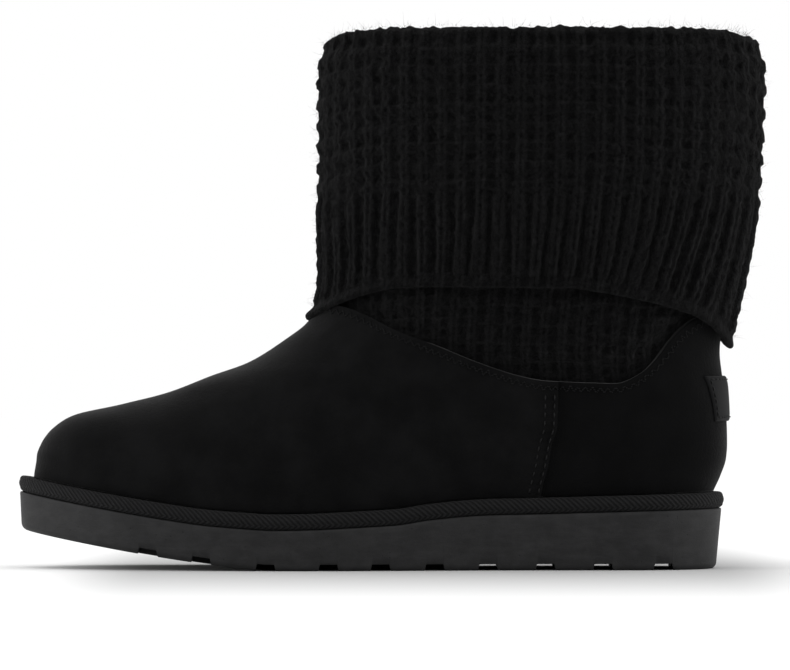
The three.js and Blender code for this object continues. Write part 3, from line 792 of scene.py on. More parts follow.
class Dye:
    """Builds one material's nodes from expressions."""

    def __init__(self, name: str) -> None:
        """Starts an empty material with a Principled surface.

        Args:
            name: Name of the material.
        """
        self.material = bpy.data.materials.new(name)
        self.material.use_nodes = True
        self.tree = self.material.node_tree
        self.tree.nodes.clear()
        self.surface = self.tree.nodes.new("ShaderNodeBsdfPrincipled")
        output = self.tree.nodes.new("ShaderNodeOutputMaterial")
        self.tree.links.new(self.surface.outputs["BSDF"], output.inputs["Surface"])

    def node(self, kind: str, settings: dict[str, Any], inputs: dict[str | int, Input]) -> bpy.types.Node:
        """Adds a node.

        Args:
            kind: The node's type.
            settings: Its properties, set before its sockets.
            inputs: Values or links of its sockets, by name or place.

        Returns:
            The new node.
        """
        node = self.tree.nodes.new(kind)
        for key, value in settings.items():
            setattr(node, key, value)
        for key, value in inputs.items():
            self.feed(node.inputs[key], value)
        return node

    def feed(self, socket: bpy.types.NodeSocket, value: Input) -> None:
        """Links a socket, or sets its own value."""
        if isinstance(value, Strand):
            self.tree.links.new(value.socket, socket)
        elif isinstance(value, bpy.types.NodeSocket):
            self.tree.links.new(value, socket)
        else:
            socket.default_value = value

    def math(self, operation: str, *values: "Strand | float") -> Strand:
        """Adds a Math node."""
        node = self.node("ShaderNodeMath", {"operation": operation}, dict(enumerate(values)))
        return Strand(self, node.outputs[0])

    def place(self, output: str = "Object") -> bpy.types.NodeSocket:
        """Object coordinates in metres, or the piece's own uv map."""
        return self.node("ShaderNodeTexCoord", {}, {}).outputs[output]

    def split(self, vector: bpy.types.NodeSocket) -> tuple[Strand, Strand, Strand]:
        """The three parts of a vector."""
        node = self.node("ShaderNodeSeparateXYZ", {}, {0: vector})
        return tuple(Strand(self, socket) for socket in node.outputs)

    def join(self, x: Input, y: Input, z: Input) -> bpy.types.NodeSocket:
        """A vector from three parts."""
        return self.node("ShaderNodeCombineXYZ", {}, {0: x, 1: y, 2: z}).outputs[0]

    def noise(self, grain: Triple, at: Input | None = None) -> Strand:
        """Noise from 0 to 1.

        Args:
            grain: Lumps for each unit of the coordinate, octaves, and strength of the finer ones.
            at: Coordinate, or the object's own in metres.

        Returns:
            The noise's value.
        """
        vector = self.place() if at is None else at
        inputs = {"Vector": vector, **dict(zip(("Scale", "Detail", "Roughness"), grain))}
        return Strand(self, self.node("ShaderNodeTexNoise", {}, inputs).outputs["Fac"])

    def blend(self, dark: Triple, light: Triple, share: Strand) -> bpy.types.NodeSocket:
        """A colour between two.

        Args:
            dark: Colour where the share is 0.
            light: Colour where it is 1.
            share: Share of the second colour.

        Returns:
            The mixed colour.
        """
        inputs = {0: share, 6: (*dark, 1.0), 7: (*light, 1.0)}
        node = self.node("ShaderNodeMix", {"data_type": "RGBA", "clamp_factor": True}, inputs)
        return node.outputs[2]

    def relief(self, layers: Sequence[tuple[Strand, float]]) -> bpy.types.NodeSocket:
        """Bumps on top of each other.

        Args:
            layers: A height from 0 to 1 and its real depth in metres, the lowest layer first.

        Returns:
            The last bump's normal.
        """
        under: dict[str | int, Input] = {}
        for height, depth in layers:
            inputs = {"Strength": 1.0, "Distance": depth, "Height": height, **under}
            under = {"Normal": self.node("ShaderNodeBump", {}, inputs).outputs["Normal"]}
        return under["Normal"]

    def set(self, **sockets: Input) -> None:
        """Sets the surface's sockets, with spaces written as underscores."""
        for key, value in sockets.items():
            self.feed(self.surface.inputs[key.replace("_", " ")], value)


Recipe = tuple[Strand, Strand | float, Sequence[tuple[Strand, float]]]


@dataclass(frozen=True)
class Cover:
    """What every finish has: two colours to mix, gloss and sheen.

    The noises of a finish are given as lumps a metre, octaves and strength of the finer ones,
    and its depths in metres.
    """

    name: str
    dark: Triple
    light: Triple
    gloss: float
    sheen: float = 0.0
    sheen_spread: float = 0.5

    def recipe(self, dye: Dye) -> Recipe:
        """What varies over the surface: each finish has its own."""
        raise NotImplementedError

    def material(self) -> bpy.types.Material:
        """Mixes the two colours by the recipe's share, and stacks its relief.

        Returns:
            The material.
        """
        dye = Dye(self.name)
        share, roughness, relief = self.recipe(dye)
        dye.set(
            Base_Color=dye.blend(self.dark, self.light, share),
            Roughness=roughness,
            Specular_IOR_Level=self.gloss,
            Sheen_Weight=self.sheen,
            Sheen_Roughness=self.sheen_spread,
        )
        if relief:
            dye.set(Normal=dye.relief(relief))
        return dye.material


@dataclass(frozen=True)
class SuedeFinish(Cover):
    """Short brushed nap: mottled, matte, with a soft light edge from its sheen, and painted shade on the heel
    quarter and the cut edge.
    """

    name: str = "suede"
    dark: Triple = (0.0024, 0.0024, 0.0025)
    light: Triple = (0.0058, 0.0058, 0.0060)
    gloss: float = 0.035
    sheen: float = 0.10
    sheen_spread: float = 0.32
    brushed: Triple = (55.0, 4.0, 0.6)
    pores: Triple = (900.0, 3.0, 0.7)
    nap: Triple = (2600.0, 2.0, 0.6)
    pore_depth: float = 0.00022
    nap_depth: float = 0.00012
    # painted shade: how much darker the heel quarter and the cut edge are painted
    quarter_painted_shade: float = 0.55
    edge_painted_shade: float = 0.9

    def recipe(self, dye: Dye) -> Recipe:
        """Nap and pores as fine bump, and brushed patches as lighter and darker colour.

        u is within 1 of 0 on the heel quarter, whose colour is painted darker as painted shade, and v
        is above -1 from the raw edge on, where painted shade darkens the colour.

        Args:
            dye: The material's nodes.

        Returns:
            Share of the light colour, roughness and relief.
        """
        u, v, _ = dye.split(dye.place("UV"))
        quarter = 1.0 - u.absolute().step(0.99, 1.01)
        painted_shade_edge = v.step(-2.0, -0.5)
        pores = dye.noise(self.pores)
        share = (dye.noise(self.brushed).step(0.3, 0.75) * 0.7 + pores * 0.5).smaller(1.0)
        # painted shade: darker colour on the heel quarter and along the cut edge at the collar
        share = share * (1.0 - quarter * self.quarter_painted_shade) * (1.0 - painted_shade_edge * self.edge_painted_shade)
        relief = ((dye.noise(self.nap), self.nap_depth), (pores, self.pore_depth))
        return share, 0.92 + (pores - 0.5) * 0.1, relief


@dataclass(frozen=True)
class StitchLegs:
    """The two slanted legs of a knitted stitch, in shares of a rib's width and of a course."""

    foot: float = 0.09
    spread: float = 0.10
    half: float = 0.10
    fade: tuple[float, float] = (1.0, 1.5)


@dataclass(frozen=True)
class KnitFinish(Cover):
    """Chunky yarn: plies and loose fibres as bump, and painted shade that makes the colour darker down
    between the ribs.
    """

    name: str = "knit_yarn"
    dark: Triple = (0.0012, 0.0012, 0.0013)
    light: Triple = (0.0165, 0.0165, 0.0170)
    gloss: float = 0.03
    sheen: float = 0.054
    sheen_spread: float = 0.35
    legs: StitchLegs = StitchLegs()
    warp: Triple = (90.0, 2.0, 0.5)
    fibres: Triple = (1700.0, 4.0, 0.75)
    lint: Triple = (420.0, 5.0, 0.8)
    leg_depth: float = 0.00030
    ply_depth: float = 0.00010
    lint_depth: float = 0.0022
    fibre_depth: float = 0.0007

    def stitch_height(self, u: Strand, v: Strand) -> Strand:
        """Height of the two slanted legs of each stitch.

        Each leg is the root of 1 - w^2 across its width, and leans outward as it rises through
        its course and under the next.

        Args:
            u: Count of ribs.
            v: Count of courses.

        Returns:
            Height from 0 to 1.
        """
        across = (u.fraction() - 0.5).absolute()
        heights = []
        for under in (0.0, 1.0):
            rise = v.fraction() + under
            w = (across - rise * self.legs.spread - self.legs.foot) / self.legs.half
            heights.append((1.0 - w * w).larger(0.0) ** 0.5 * (1.0 - rise.step(*self.legs.fade)))
        return heights[0].larger(heights[1])

    def recipe(self, dye: Dye) -> Recipe:
        """Stitch legs, twisted plies, lint and fibres, in the piece's own coordinates.

        Args:
            dye: The material's nodes.

        Returns:
            Share of the light colour, roughness and relief.
        """
        u, v, _ = dye.split(dye.place("UV"))
        warp = dye.noise(self.warp)
        legs = self.stitch_height(u + (warp - 0.5) * 0.16, v + (warp - 0.5) * 0.5)
        plies = (u * 7.0 + v * 3.0 + warp * 3.0).wave()
        fibres = dye.noise(self.fibres)
        lint = dye.noise(self.lint)
        # painted shade: the colour follows the legs' height, darker down between the ribs
        share = legs * 0.30 + fibres.step(0.35, 0.75) * 0.35 + lint.step(0.45, 0.72) * 0.6 - 0.15
        fine = ((lint, self.lint_depth), (fibres, self.fibre_depth))
        return share, 0.95, ((legs, self.leg_depth), (plies, self.ply_depth), *fine)


@dataclass(frozen=True)
class FuzzFinish(Cover):
    """Loose fibres that stand off the yarn."""

    name: str = "loose_fibre"
    dark: Triple = (0.004, 0.004, 0.0042)
    light: Triple = (0.030, 0.030, 0.031)
    gloss: float = 0.1
    sheen: float = 0.05
    patches: Triple = (300.0, 2.0, 0.5)

    def recipe(self, dye: Dye) -> Recipe:
        """Lighter and darker fibres by place."""
        return dye.noise(self.patches), 0.8, ()


@dataclass(frozen=True)
class FoamRubberFinish(Cover):
    """Moulded foamed rubber: satin, faintly mottled, with scattered pocks."""

    name: str = "foam_rubber"
    dark: Triple = (0.0088, 0.0088, 0.0091)
    light: Triple = (0.0272, 0.0272, 0.0278)
    gloss: float = 0.13
    mottling: Triple = (160.0, 5.0, 0.65)
    grain: Triple = (2400.0, 3.0, 0.6)
    streaks: Triple = (1.0, 4.0, 0.65)
    streak_scales: Triple = (110.0, 110.0, 330.0)
    pocks: Triple = (700.0, 1.0, 0.5)
    grain_depth: float = 0.00006
    pock_depth: float = 0.00010
    streak_depth: float = 0.00016

    def recipe(self, dye: Dye) -> Recipe:
        """Soft mottling, fine grain, faint streaks along the wall, and painted shade that darkens the pocks.

        Args:
            dye: The material's nodes.

        Returns:
            Share of the light colour, roughness and relief.
        """
        mottled = dye.noise(self.mottling)
        grain = dye.noise(self.grain)
        place = dye.split(dye.place())
        stretched = dye.join(*(part * scale for part, scale in zip(place, self.streak_scales)))
        streaks = dye.noise(self.streaks, at=stretched)
        pocks = dye.noise(self.pocks).step(0.72, 0.8)
        share = mottled.step(0.3, 0.7) * 0.3 + streaks.step(0.35, 0.75) * 0.3
        # painted shade: the colour is darker in the pocks
        share = share + grain * 0.4 - pocks * 0.35 + 0.08
        relief = ((grain, self.grain_depth), (1.0 - pocks, self.pock_depth), (streaks, self.streak_depth))
        return share, 0.62 + (mottled - 0.5) * 0.2, relief


@dataclass(frozen=True)
class TapeFinish(Cover):
    """Twill tape with a herringbone weave along it, in millimetres around and up the board."""

    name: str = "herringbone_tape"
    dark: Triple = (0.0018, 0.0018, 0.0019)
    light: Triple = (0.0205, 0.0205, 0.0212)
    gloss: float = 0.07
    sheen: float = 0.02
    middle: float = 3.3
    slant: float = 0.9
    ridge_pitch: float = 2.2
    threads: tuple[float, float] = (2.2, 3.0)
    fuzz: Triple = (1500.0, 3.0, 0.7)
    ridge_depth: float = 0.00045
    thread_depth: float = 0.00010
    fuzz_depth: float = 0.00012

    def recipe(self, dye: Dye) -> Recipe:
        """Diagonal ridges that turn at the tape's middle, with threads across them, and painted shade between
        the ridges.

        Args:
            dye: The material's nodes.

        Returns:
            Share of the light colour, roughness and relief.
        """
        u, v, _ = dye.split(dye.place("UV"))
        ridge = ((u + (v - self.middle).absolute() * self.slant) / self.ridge_pitch).wave()
        thread = (u * self.threads[0] - v * self.threads[1]).wave()
        fuzz = dye.noise(self.fuzz)
        relief = ((ridge, self.ridge_depth), (thread, self.thread_depth), (fuzz, self.fuzz_depth))
        # painted shade: the colour follows the ridges' height, darker in the hollows between them
        return ridge * 0.55 + thread * 0.12 + fuzz * 0.5 - 0.12, 0.82, relief


@dataclass(frozen=True)
class PileFinish(Cover):
    """Short soft pile of the insole."""

    name: str = "insole_pile"
    dark: Triple = (0.0022, 0.0022, 0.0024)
    light: Triple = (0.0130, 0.0130, 0.0135)
    gloss: float = 0.05
    sheen: float = 0.05
    curls: Triple = (380.0, 4.0, 0.7)
    fibres: Triple = (1900.0, 3.0, 0.7)
    curl_depth: float = 0.0012
    fibre_depth: float = 0.0004

    def recipe(self, dye: Dye) -> Recipe:
        """Curls and fibres as bump, and lighter tips."""
        curls, fibres = dye.noise(self.curls), dye.noise(self.fibres)
        return curls * 0.6 + fibres * 0.4, 1.0, ((curls, self.curl_depth), (fibres, self.fibre_depth))


@dataclass(frozen=True)
class LabelFinish(Cover):
    """Dense plain weave of the heel label, left bare."""

    name: str = "woven_label"
    dark: Triple = (0.0025, 0.0025, 0.0028)
    light: Triple = (0.0080, 0.0080, 0.0084)
    gloss: float = 0.08
    sheen: float = 0.015
    weft_count: float = 3.2
    warp_count: float = 2.4
    fuzz: Triple = (2000.0, 2.0, 0.5)
    weave_depth: float = 0.00012

    def recipe(self, dye: Dye) -> Recipe:
        """Warp and weft as crossed waves in the label's own millimetres.

        Args:
            dye: The material's nodes.

        Returns:
            Share of the light colour, roughness and relief.
        """
        u, v, _ = dye.split(dye.place("UV"))
        weft = (v * self.weft_count).wave()
        warp = (u * self.warp_count + weft * 0.15).wave()
        weave = weft * 0.6 + warp * 0.4
        return weave * 0.7 + dye.noise(self.fuzz) * 0.3, 0.7, ((weave, self.weave_depth),)


@dataclass(frozen=True)
class ThreadFinish(Cover):
    """Waxed sewing thread, a little lighter and glossier than the suede."""

    name: str = "sewing_thread"
    dark: Triple = (0.0020, 0.0020, 0.0021)
    light: Triple = (0.0085, 0.0085, 0.0088)
    gloss: float = 0.12
    ply: Triple = (1400.0, 2.0, 0.5)
    ply_depth: float = 0.00008

    def recipe(self, dye: Dye) -> Recipe:
        """Ply as fine bump."""
        ply = dye.noise(self.ply)
        return ply, 0.5, ((ply, self.ply_depth),)


class Finish(Enum):
    """The finishes of the boot."""

    SUEDE = SuedeFinish()
    KNIT = KnitFinish()
    RUBBER = FoamRubberFinish()
    TAPE = TapeFinish()
    PILE = PileFinish()
    LABEL = LabelFinish()
    THREAD = ThreadFinish()
    FUZZ = FuzzFinish()

    @cached_property
    def made(self) -> bpy.types.Material:
        """The material, made once."""
        return self.value.material()


class Slot(Enum):
    """The record's material slots."""

    OUTSOLE = "outsole_rubber"
    TAPE = "bound_tape"
    INSOLE = "insole_pile"
    SUEDE = "suede"
    KNIT = "knit"
    LABEL = "woven_label"


def dress(piece: bpy.types.Object, finish: Finish, slot: Slot, *nodes: str) -> None:
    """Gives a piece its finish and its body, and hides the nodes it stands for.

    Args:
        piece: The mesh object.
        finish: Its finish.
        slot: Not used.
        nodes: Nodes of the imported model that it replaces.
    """
    piece.data.materials.append(finish.made)
    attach(piece, BODY)
    if nodes:
        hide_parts(*nodes)
    log.info("%s: %d faces", piece.name, len(piece.data.polygons))


LAST = BootLast()


# The suede upper


@dataclass(frozen=True)
class Crease:
    """One soft trough in the suede, from one place to another on both sides of the foot."""

    start: tuple[float, float]
    end: tuple[float, float]
    depth: float
    width: float
    bank: float = 0.55
    bank_place: float = 1.6

    def depth_at(self, x: Array, z: Array) -> Array:
        """Depth of the trough: a bell across it that fades towards both ends.

        Args:
            x: Place along the boot.
            z: Height.

        Returns:
            Depth in millimetres.
        """
        a, b = np.array(self.start), np.array(self.end)
        run = b - a
        t = ((x - a[0]) * run[0] + (z - a[1]) * run[1]) / (run @ run)
        near = np.clip(t, 0.0, 1.0)
        away = np.hypot(x - a[0] - near * run[0], z - a[1] - near * run[1])
        share = away / self.width
        bell = np.exp(-(share**2)) - self.bank * np.exp(-((share - self.bank_place) ** 2))
        return self.depth * bell * np.sin(math.pi * np.clip(t, 0.02, 0.98)) ** 0.7


@dataclass
class SuedeUpper:
    """Vamp and heel quarter, lapped and stitched at the side seam, with stitched collar."""

    wall: float = 2.6
    seam_step: float = 1.35
    seam_gap: float = 0.5
    seam_tuck: float = 1.1
    seam_fade: float = 14.0
    tuck_fade: float = 1.6
    cut_softness: tuple[float, float] = (-0.2, 0.9)
    vamp_settling: float = 0.5
    settling_end: tuple[float, float] = (95.0, 135.0)
    feather_fade: float = 7.0
    wave_height: float = 0.22
    waves: Ripple = Ripple(seed=4, around=(2, 9), along=(0.004, 0.022))
    vamp_steps: int = 120
    quarter_steps: int = 54
    rows: int = 100
    last_rows: Triple = (0.993, 0.9965, 0.999)
    inner_rows: int = 24
    edge_drop: float = 0.3
    edge_bevel: float = 0.06
    thread: float = 0.30
    zigzag_width: float = 1.15
    zigzag_pitch: float = 2.9
    zigzag_unevenness: float = 0.22
    zigzag_samples: int = 900
    zigzag_gap: float = 0.08
    zigzag_seed: int = 17
    collar_span: tuple[float, float] = (0.06, math.pi - 0.05)
    collar_row: float = 2.9
    seam_rows: tuple[float, float] = (1.3, 4.9)
    seam_stitch: float = 3.3
    seam_stitch_gap: float = 0.14
    seam_foot: float = 205.0
    seam_margins: tuple[float, float] = (1.0, 4.0)
    seam_samples: int = 200
    creases: tuple[Crease, ...] = (
        Crease((96.0, 76.0), (112.0, 48.0), 0.55, 5.0),
        Crease((80.0, 68.0), (98.0, 42.0), 0.45, 5.5),
        Crease((118.0, 84.0), (150.0, 62.0), 0.5, 6.5),
        Crease((150.0, 74.0), (196.0, 52.0), 0.4, 7.0),
        Crease((222.0, 66.0), (262.0, 58.0), 0.4, 5.0),
    )

    def places(self, z: Array) -> Array:
        """Place of every column, from toe to seam and from seam to heel.

        Args:
            z: Height of each column, in the last axis.

        Returns:
            Places along the boot, in z's shape.
        """
        vamp = 1 - np.cos(math.pi / 2 * np.linspace(0, 1, self.vamp_steps + 1))
        quarter = np.sin(math.pi / 2 * np.linspace(0, 1, self.quarter_steps + 1))
        front, back = z[..., : vamp.size], z[..., vamp.size :]
        before = lerp(LAST.front_line(front), LAST.seam_at(front) - self.seam_gap / 2, vamp)
        behind = lerp(LAST.seam_at(back) + self.seam_gap / 2, LAST.back_line(back), quarter)
        return np.concatenate([before, behind], axis=-1)

    def lap(self, x: Array, z: Array) -> Array:
        """How far the vamp stands off the quarter, whose edge is tucked under the cut."""
        ahead = LAST.seam_at(z) - x
        edge = ease(ahead, *self.cut_softness)
        step = self.seam_step * np.exp(-np.maximum(ahead, 0) / self.seam_fade) * edge
        tuck = -self.seam_tuck * np.exp(-np.maximum(-ahead, 0) / self.tuck_fade)
        return np.where(ahead > 0, step, tuck)

    def form(self, x: Array, z: Array) -> Array:
        """Height of the suede's outer face off the skin: lap, creases, settling and soft waves."""
        crease = sum(c.depth_at(x, z) for c in self.creases)
        feather = ease(z - LAST.feather_height(x), 0.0, self.feather_fade)
        worn = self.vamp_settling * (1 - ease(x, *self.settling_end))
        waves = self.wave_height * self.waves(x / LAST.length, z)
        return self.lap(x, z) - (crease + worn) * feather + waves * feather

    def rings(self) -> tuple[Array, Array, Array]:
        """Rings of the closed wall, up its outer face, over the edge and down inside.

        Each row has a share of the height, a distance off the skin and whether it shows.

        Returns:
            Points in millimetres (rows, columns, 3), and the columns' and rows' coordinates.
        """
        count = self.vamp_steps + self.quarter_steps + 2
        low = LAST.settle(self.places, LAST.feather_height, np.full(count, LAST.feather_guess))
        high = LAST.settle(self.places, LAST.collar_at, np.full(count, LAST.collar_guess))
        outer = [*np.linspace(0.0, 0.988, self.rows), *self.last_rows]
        rows = [(s, 0.0, 1.0) for s in outer]
        rows += [(1.0, -self.wall / 2 * (1 - math.cos(t)), 0.0) for t in np.linspace(0.25, 0.75, 3) * math.pi]
        rows += [(s, -self.wall, 0.0) for s in np.linspace(1.0, 0.0, self.inner_rows)]
        shares, distances, shown = (np.array(values)[:, None] for values in zip(*rows))
        z = lerp(low, high - self.edge_drop, shares)
        x = self.places(z)
        bevel = ease(shares, self.last_rows[0], 1.0) * self.edge_bevel
        away = distances + shown * (self.form(x, z) - bevel)
        angle = LAST.angle_of(x, z)
        outer_side, inner_side = (LAST.offset_point(side * angle, z, away) for side in (1.0, -1.0))
        rings = np.concatenate([outer_side, inner_side[:, -2:0:-1]], axis=1)
        u = (np.arange(rings.shape[1] + 1) - (count - 1)) / (self.quarter_steps + 0.5)
        return rings, u, np.arange(rings.shape[0] + 1) - float(len(outer))

    def surface(self, path: Array, side: float) -> tuple[Array, Array]:
        """Points on the suede's face and their normals, for one side and a path of x and z."""
        x, z = path[:, 0], path[:, 1]
        angle = LAST.angle_of(x, z) * side
        return LAST.offset_point(angle, z, self.form(x, z)), LAST.outward(angle, z)

    def sewn(self, path: Array, pitch: float, gap: float) -> Stitches:
        """Stitches at even steps along a path, measured on the surface, on both sides.

        Args:
            path: x and z of the row, (n, 2).
            pitch: Length of a step in millimetres.
            gap: Share of a step that stays free at both of its ends.

        Returns:
            The outer side's row and the inner side's.
        """
        length = path_lengths(self.surface(path, 1.0)[0])
        at = np.linspace(0, length[-1], max(int(length[-1] / pitch), 2) + 1)
        knots = np.stack([np.interp(at, length, path[:, i]) for i in range(2)], axis=1)
        return [between_knots(*self.surface(knots, side), gap) for side in (1.0, -1.0)]

    def collar_stitches(self) -> Stitches:
        """Zigzag row below the collar edge: a triangle wave across a line beside the edge.

        Returns:
            The rows of both sides.
        """
        angle = np.linspace(*self.collar_span, self.zigzag_samples)
        start = np.full(self.zigzag_samples, LAST.collar_guess)
        z = LAST.settle(lambda height: LAST.place_of(angle, height), LAST.collar_at, start)
        x = LAST.place_of(angle, z)
        slope = np.gradient(z, x)
        drop = 1 / np.sqrt(1 + slope**2)
        length = running(np.hypot(np.diff(x), np.diff(z)))
        wave = np.abs(((length / self.zigzag_pitch) % 1.0) * 2 - 1) * 2 - 1
        rng = np.random.default_rng(self.zigzag_seed)
        wave = wave + self.zigzag_unevenness * rng.normal(size=wave.size)
        away = self.collar_row + self.zigzag_width * wave
        path = np.stack([x + slope * drop * away, z - drop * away], axis=1)
        return self.sewn(path, self.zigzag_pitch / 3, self.zigzag_gap)

    def seam_stitches(self) -> Stitches:
        """Two rows beside the side seam, on the vamp.

        Returns:
            The rows of both sides.
        """
        foot = float(LAST.feather_height(self.seam_foot)) + self.seam_margins[0]
        z = np.linspace(foot, LAST.collar_dip_height - self.seam_margins[1], self.seam_samples)
        rows = []
        for row in self.seam_rows:
            path = np.stack([LAST.seam_at(z) - row, z], axis=1)
            rows += self.sewn(path, self.seam_stitch, self.seam_stitch_gap)
        return rows

    def make(self) -> None:
        """Builds and dresses the wall and its stitching."""
        dress(ring_body("suede_upper", *self.rings()), Finish.SUEDE, Slot.SUEDE, "upper")
        collar = stitch_body("collar_stitching", self.collar_stitches(), self.thread)
        dress(collar, Finish.THREAD, Slot.SUEDE)
        seam = stitch_body("side_seam_stitching", self.seam_stitches(), self.thread)
        dress(seam, Finish.THREAD, Slot.SUEDE)


# The knitted shaft and its cuff


@dataclass(frozen=True)
class KnitRelief:
    """Height of the knit over its base: ribs of two slanted legs, and bars that make a waffle."""

    ribs: int = 54
    rib_height: float = 1.42
    rib_flank: tuple[float, float] = (0.24, 0.40)
    waffle_narrowing: float = 0.06
    waffle_sinking: float = 0.38
    legs: StitchLegs = StitchLegs()
    leg_height: float = 0.38
    waffle_leg_loss: float = 0.75
    bar_height: float = 1.5
    knot_height: float = 0.35
    course: float = 3.1
    bar_courses: float = 2.75
    lump_height: float = 0.30
    hem_lumps: float = 0.4
    lumps: Ripple = Ripple(seed=11, around=(30, 150), along=(0.03, 0.22), waves=26)
    drift: Ripple = Ripple(seed=12, around=(3, 14), along=(0.004, 0.02), waves=12)
    rib_drift: float = 0.07
    course_drift: float = 0.2

    def __call__(self, u: Array, s: Array, waffle: Number, rib: Number) -> Array:
        """Relief in millimetres.

        A rib is raised over the middle of each unit of u, and carries two legs whose section
        is the root of 1 - w^2. In the waffle, bars cross the grooves at even steps.

        Args:
            u: Place around, counted in ribs.
            s: Place along, in millimetres.
            waffle: Share of the waffle, 0 in the ribbed part.
            rib: Share of the ribs, 0 on the plain hem.

        Returns:
            Height over the base.
        """
        turn = u / self.ribs
        drift = self.drift(turn, s)
        u = u + self.rib_drift * drift
        v = s / self.course + self.course_drift * drift
        across = np.abs(u - np.floor(u) - 0.5)
        legs = np.zeros_like(across)
        for under in (0.0, 1.0):
            rise = v - np.floor(v) + under
            w = (across - self.legs.foot - self.legs.spread * rise) / self.legs.half
            fade = 1 - ease(rise, *self.legs.fade)
            legs = np.maximum(legs, np.sqrt(np.maximum(1 - w * w, 0.0)) * fade)
        crown, foot = self.rib_flank
        body = 1 - ease(across, crown - self.waffle_narrowing * waffle, foot)
        bars = ease(0.5 + 0.5 * np.cos(TURN * v / self.bar_courses), 0.25, 0.75)
        ridge = self.rib_height * body * (1 - self.waffle_sinking * waffle * (1 - bars))
        ridge = ridge + self.leg_height * legs * (1 - self.waffle_leg_loss * waffle)
        knots = waffle * (self.bar_height * bars + self.knot_height * bars * body)
        lumps = self.lump_height * self.lumps(turn, s) * lerp(self.hem_lumps, 1.0, rib)
        return rib * np.maximum(ridge, knots) + lumps


@dataclass
class KnitShaft:
    """One knitted tube that folds over at the rim and comes down outside as the cuff."""

    relief: KnitRelief = KnitRelief()
    samples: int = 12
    tube_samples: int = 10
    wall: float = 3.6
    fold_gap: float = 2.6
    cuff_standoff: float = 5.3
    cuff_back_standoff: float = 6.2
    settled_share: float = 0.4
    hem_front_standoff: float = 2.5
    hem_back_standoff: float = 5.6
    hem_side_flare: float = 2.4
    rim_drop: float = 1.4
    rim_dip: float = 3.6
    rim_dip_sharpness: float = 13.0
    rim_pull: float = 2.8
    rim_pull_depth: float = 10.0
    suede_wall: float = 2.6
    knit_clearance: float = 0.8
    sewn_overlap: float = 9.0
    release_height: float = 14.0
    lip_depth: float = 12.0
    rib_top: tuple[float, float] = (139.0, 149.0)
    hem_band: tuple[float, float] = (3.0, 5.6)
    lean: float = 7.8
    lean_from: float = 158.0
    lean_power: float = 1.3
    lean_weight: float = 15.0
    base: float = -1.75
    hem_base: float = -0.3
    base_run: tuple[float, float] = (-2.0, 7.0)
    tube_relief: float = 0.8
    tube_base: float = -1.2
    tube_stretch: float = 1.15
    hem_rows: int = 7
    cuff_rows: int = 104
    fold_rows: int = 15
    lip_rows: int = 9
    inner_fold_rows: int = 5
    inner_shares: tuple[float, ...] = (0.8, 0.6, 0.4, 0.25, 0.1)
    tube_rows: int = 58
    tube_inner_rows: int = 60
    tube_gap: float = 0.05
    hidden_rise: float = 4.0
    edge_step: float = 1.0
    tuck_end: tuple[float, float] = (0.5, 3.0)
    cuff_length: float = 108.0
    fibres: int = 7000
    fibre_length: tuple[float, float] = (0.9, 3.4)
    fibre_radius: float = 0.045
    fibre_lift: float = 0.9
    fibre_seed: int = 31
    rim_fibres: float = 0.16

    @property
    def fold_radius(self) -> float:
        """Outer radius of the fold at the rim."""
        return self.wall + self.fold_gap / 2

    def cuff_place(self, angle: Array, z: Array) -> Array:
        """Place of a rib of the cuff at a height.

        A rib hangs straight, but near the front and the back it follows the outline, and at
        the rear of each side it leans to the toe as it drops.

        Args:
            angle: Angle of the rib at the top of the lean.
            z: Height.

        Returns:
            Place along the boot.
        """
        share = (1 - np.cos(angle)) / 2
        front, back = LAST.front_line(self.lean_from), LAST.back_line(self.lean_from)
        outline = (LAST.front_line(z) - front) * (1 - share) ** 3 + (LAST.back_line(z) - back) * share**3
        drop = np.clip((self.lean_from - z) / (self.lean_from - LAST.hem_height), 0.0, 1.4) ** self.lean_power
        lean = self.lean * drop * self.lean_weight * share**5 * (1 - share)
        return lerp(front, back, share) + outline - lean

    def tube_place(self, angle: Array, z: Array) -> Array:
        """Place of a rib of the tube, which hangs straight down below the instep."""
        front = LAST.front_line(np.maximum(z, LAST.instep_height))
        return lerp(front, LAST.back_line(z), (1 - np.cos(angle)) / 2)

    def turned(self, place: Place, angle: Array, z: Array) -> Array:
        """Angle around the skin's section at which a rib's place lies at a height."""
        found = LAST.angle_of(place(angle, z), z)
        return np.where(angle > math.pi, TURN - found, found)

    def rim_at(self, angle: Array) -> Array:
        """Height of the rim, rounded down at the front and at the back."""
        return LAST.height - self.rim_drop - self.rim_dip * np.abs(np.cos(angle)) ** self.rim_dip_sharpness

    def levels(self, angle: Array, place: Place) -> dict[str, Array]:
        """Heights and distances of the knit's outline at each angle.

        Args:
            angle: Angle of each column.
            place: Place of an angle at a height.

        Returns:
            Heights of collar, hem and spring, and distances off the skin, by name.
        """
        rear = (1 - np.cos(angle)) / 2
        cuff = lerp(self.cuff_standoff, self.cuff_back_standoff, rear)
        across = lerp(self.hem_front_standoff, self.hem_back_standoff, rear)

        def settled(level: Level, guess: float) -> Array:
            """Height at which each column meets a level."""
            return LAST.settle(lambda z: place(angle, z), level, np.full_like(angle, guess))

        return {
            "collar": settled(LAST.collar_at, LAST.collar_guess),
            "hem": settled(LAST.hem_at, LAST.hem_guess),
            "standoff": across + self.hem_side_flare * np.sin(angle) ** 2,
            "cuff": cuff,
            "centre": cuff - self.fold_radius,
            "shaft": cuff - self.fold_radius - self.fold_gap / 2,
            "spring": self.rim_at(angle) - self.fold_radius,
        }

    def cuff_wall(self, at: dict[str, Array], share: Number) -> Array:
        """Distance of the cuff's face at a share of its height."""
        return lerp(at["standoff"], at["cuff"], ease(share, 0, self.settled_share))

    def drawn_in(self, distance: Array, above: Array) -> Array:
        """Distance drawn in towards the rim, by the height above the spring of the fold."""
        return distance - self.rim_pull * ease(above, -self.rim_pull_depth, self.fold_radius)

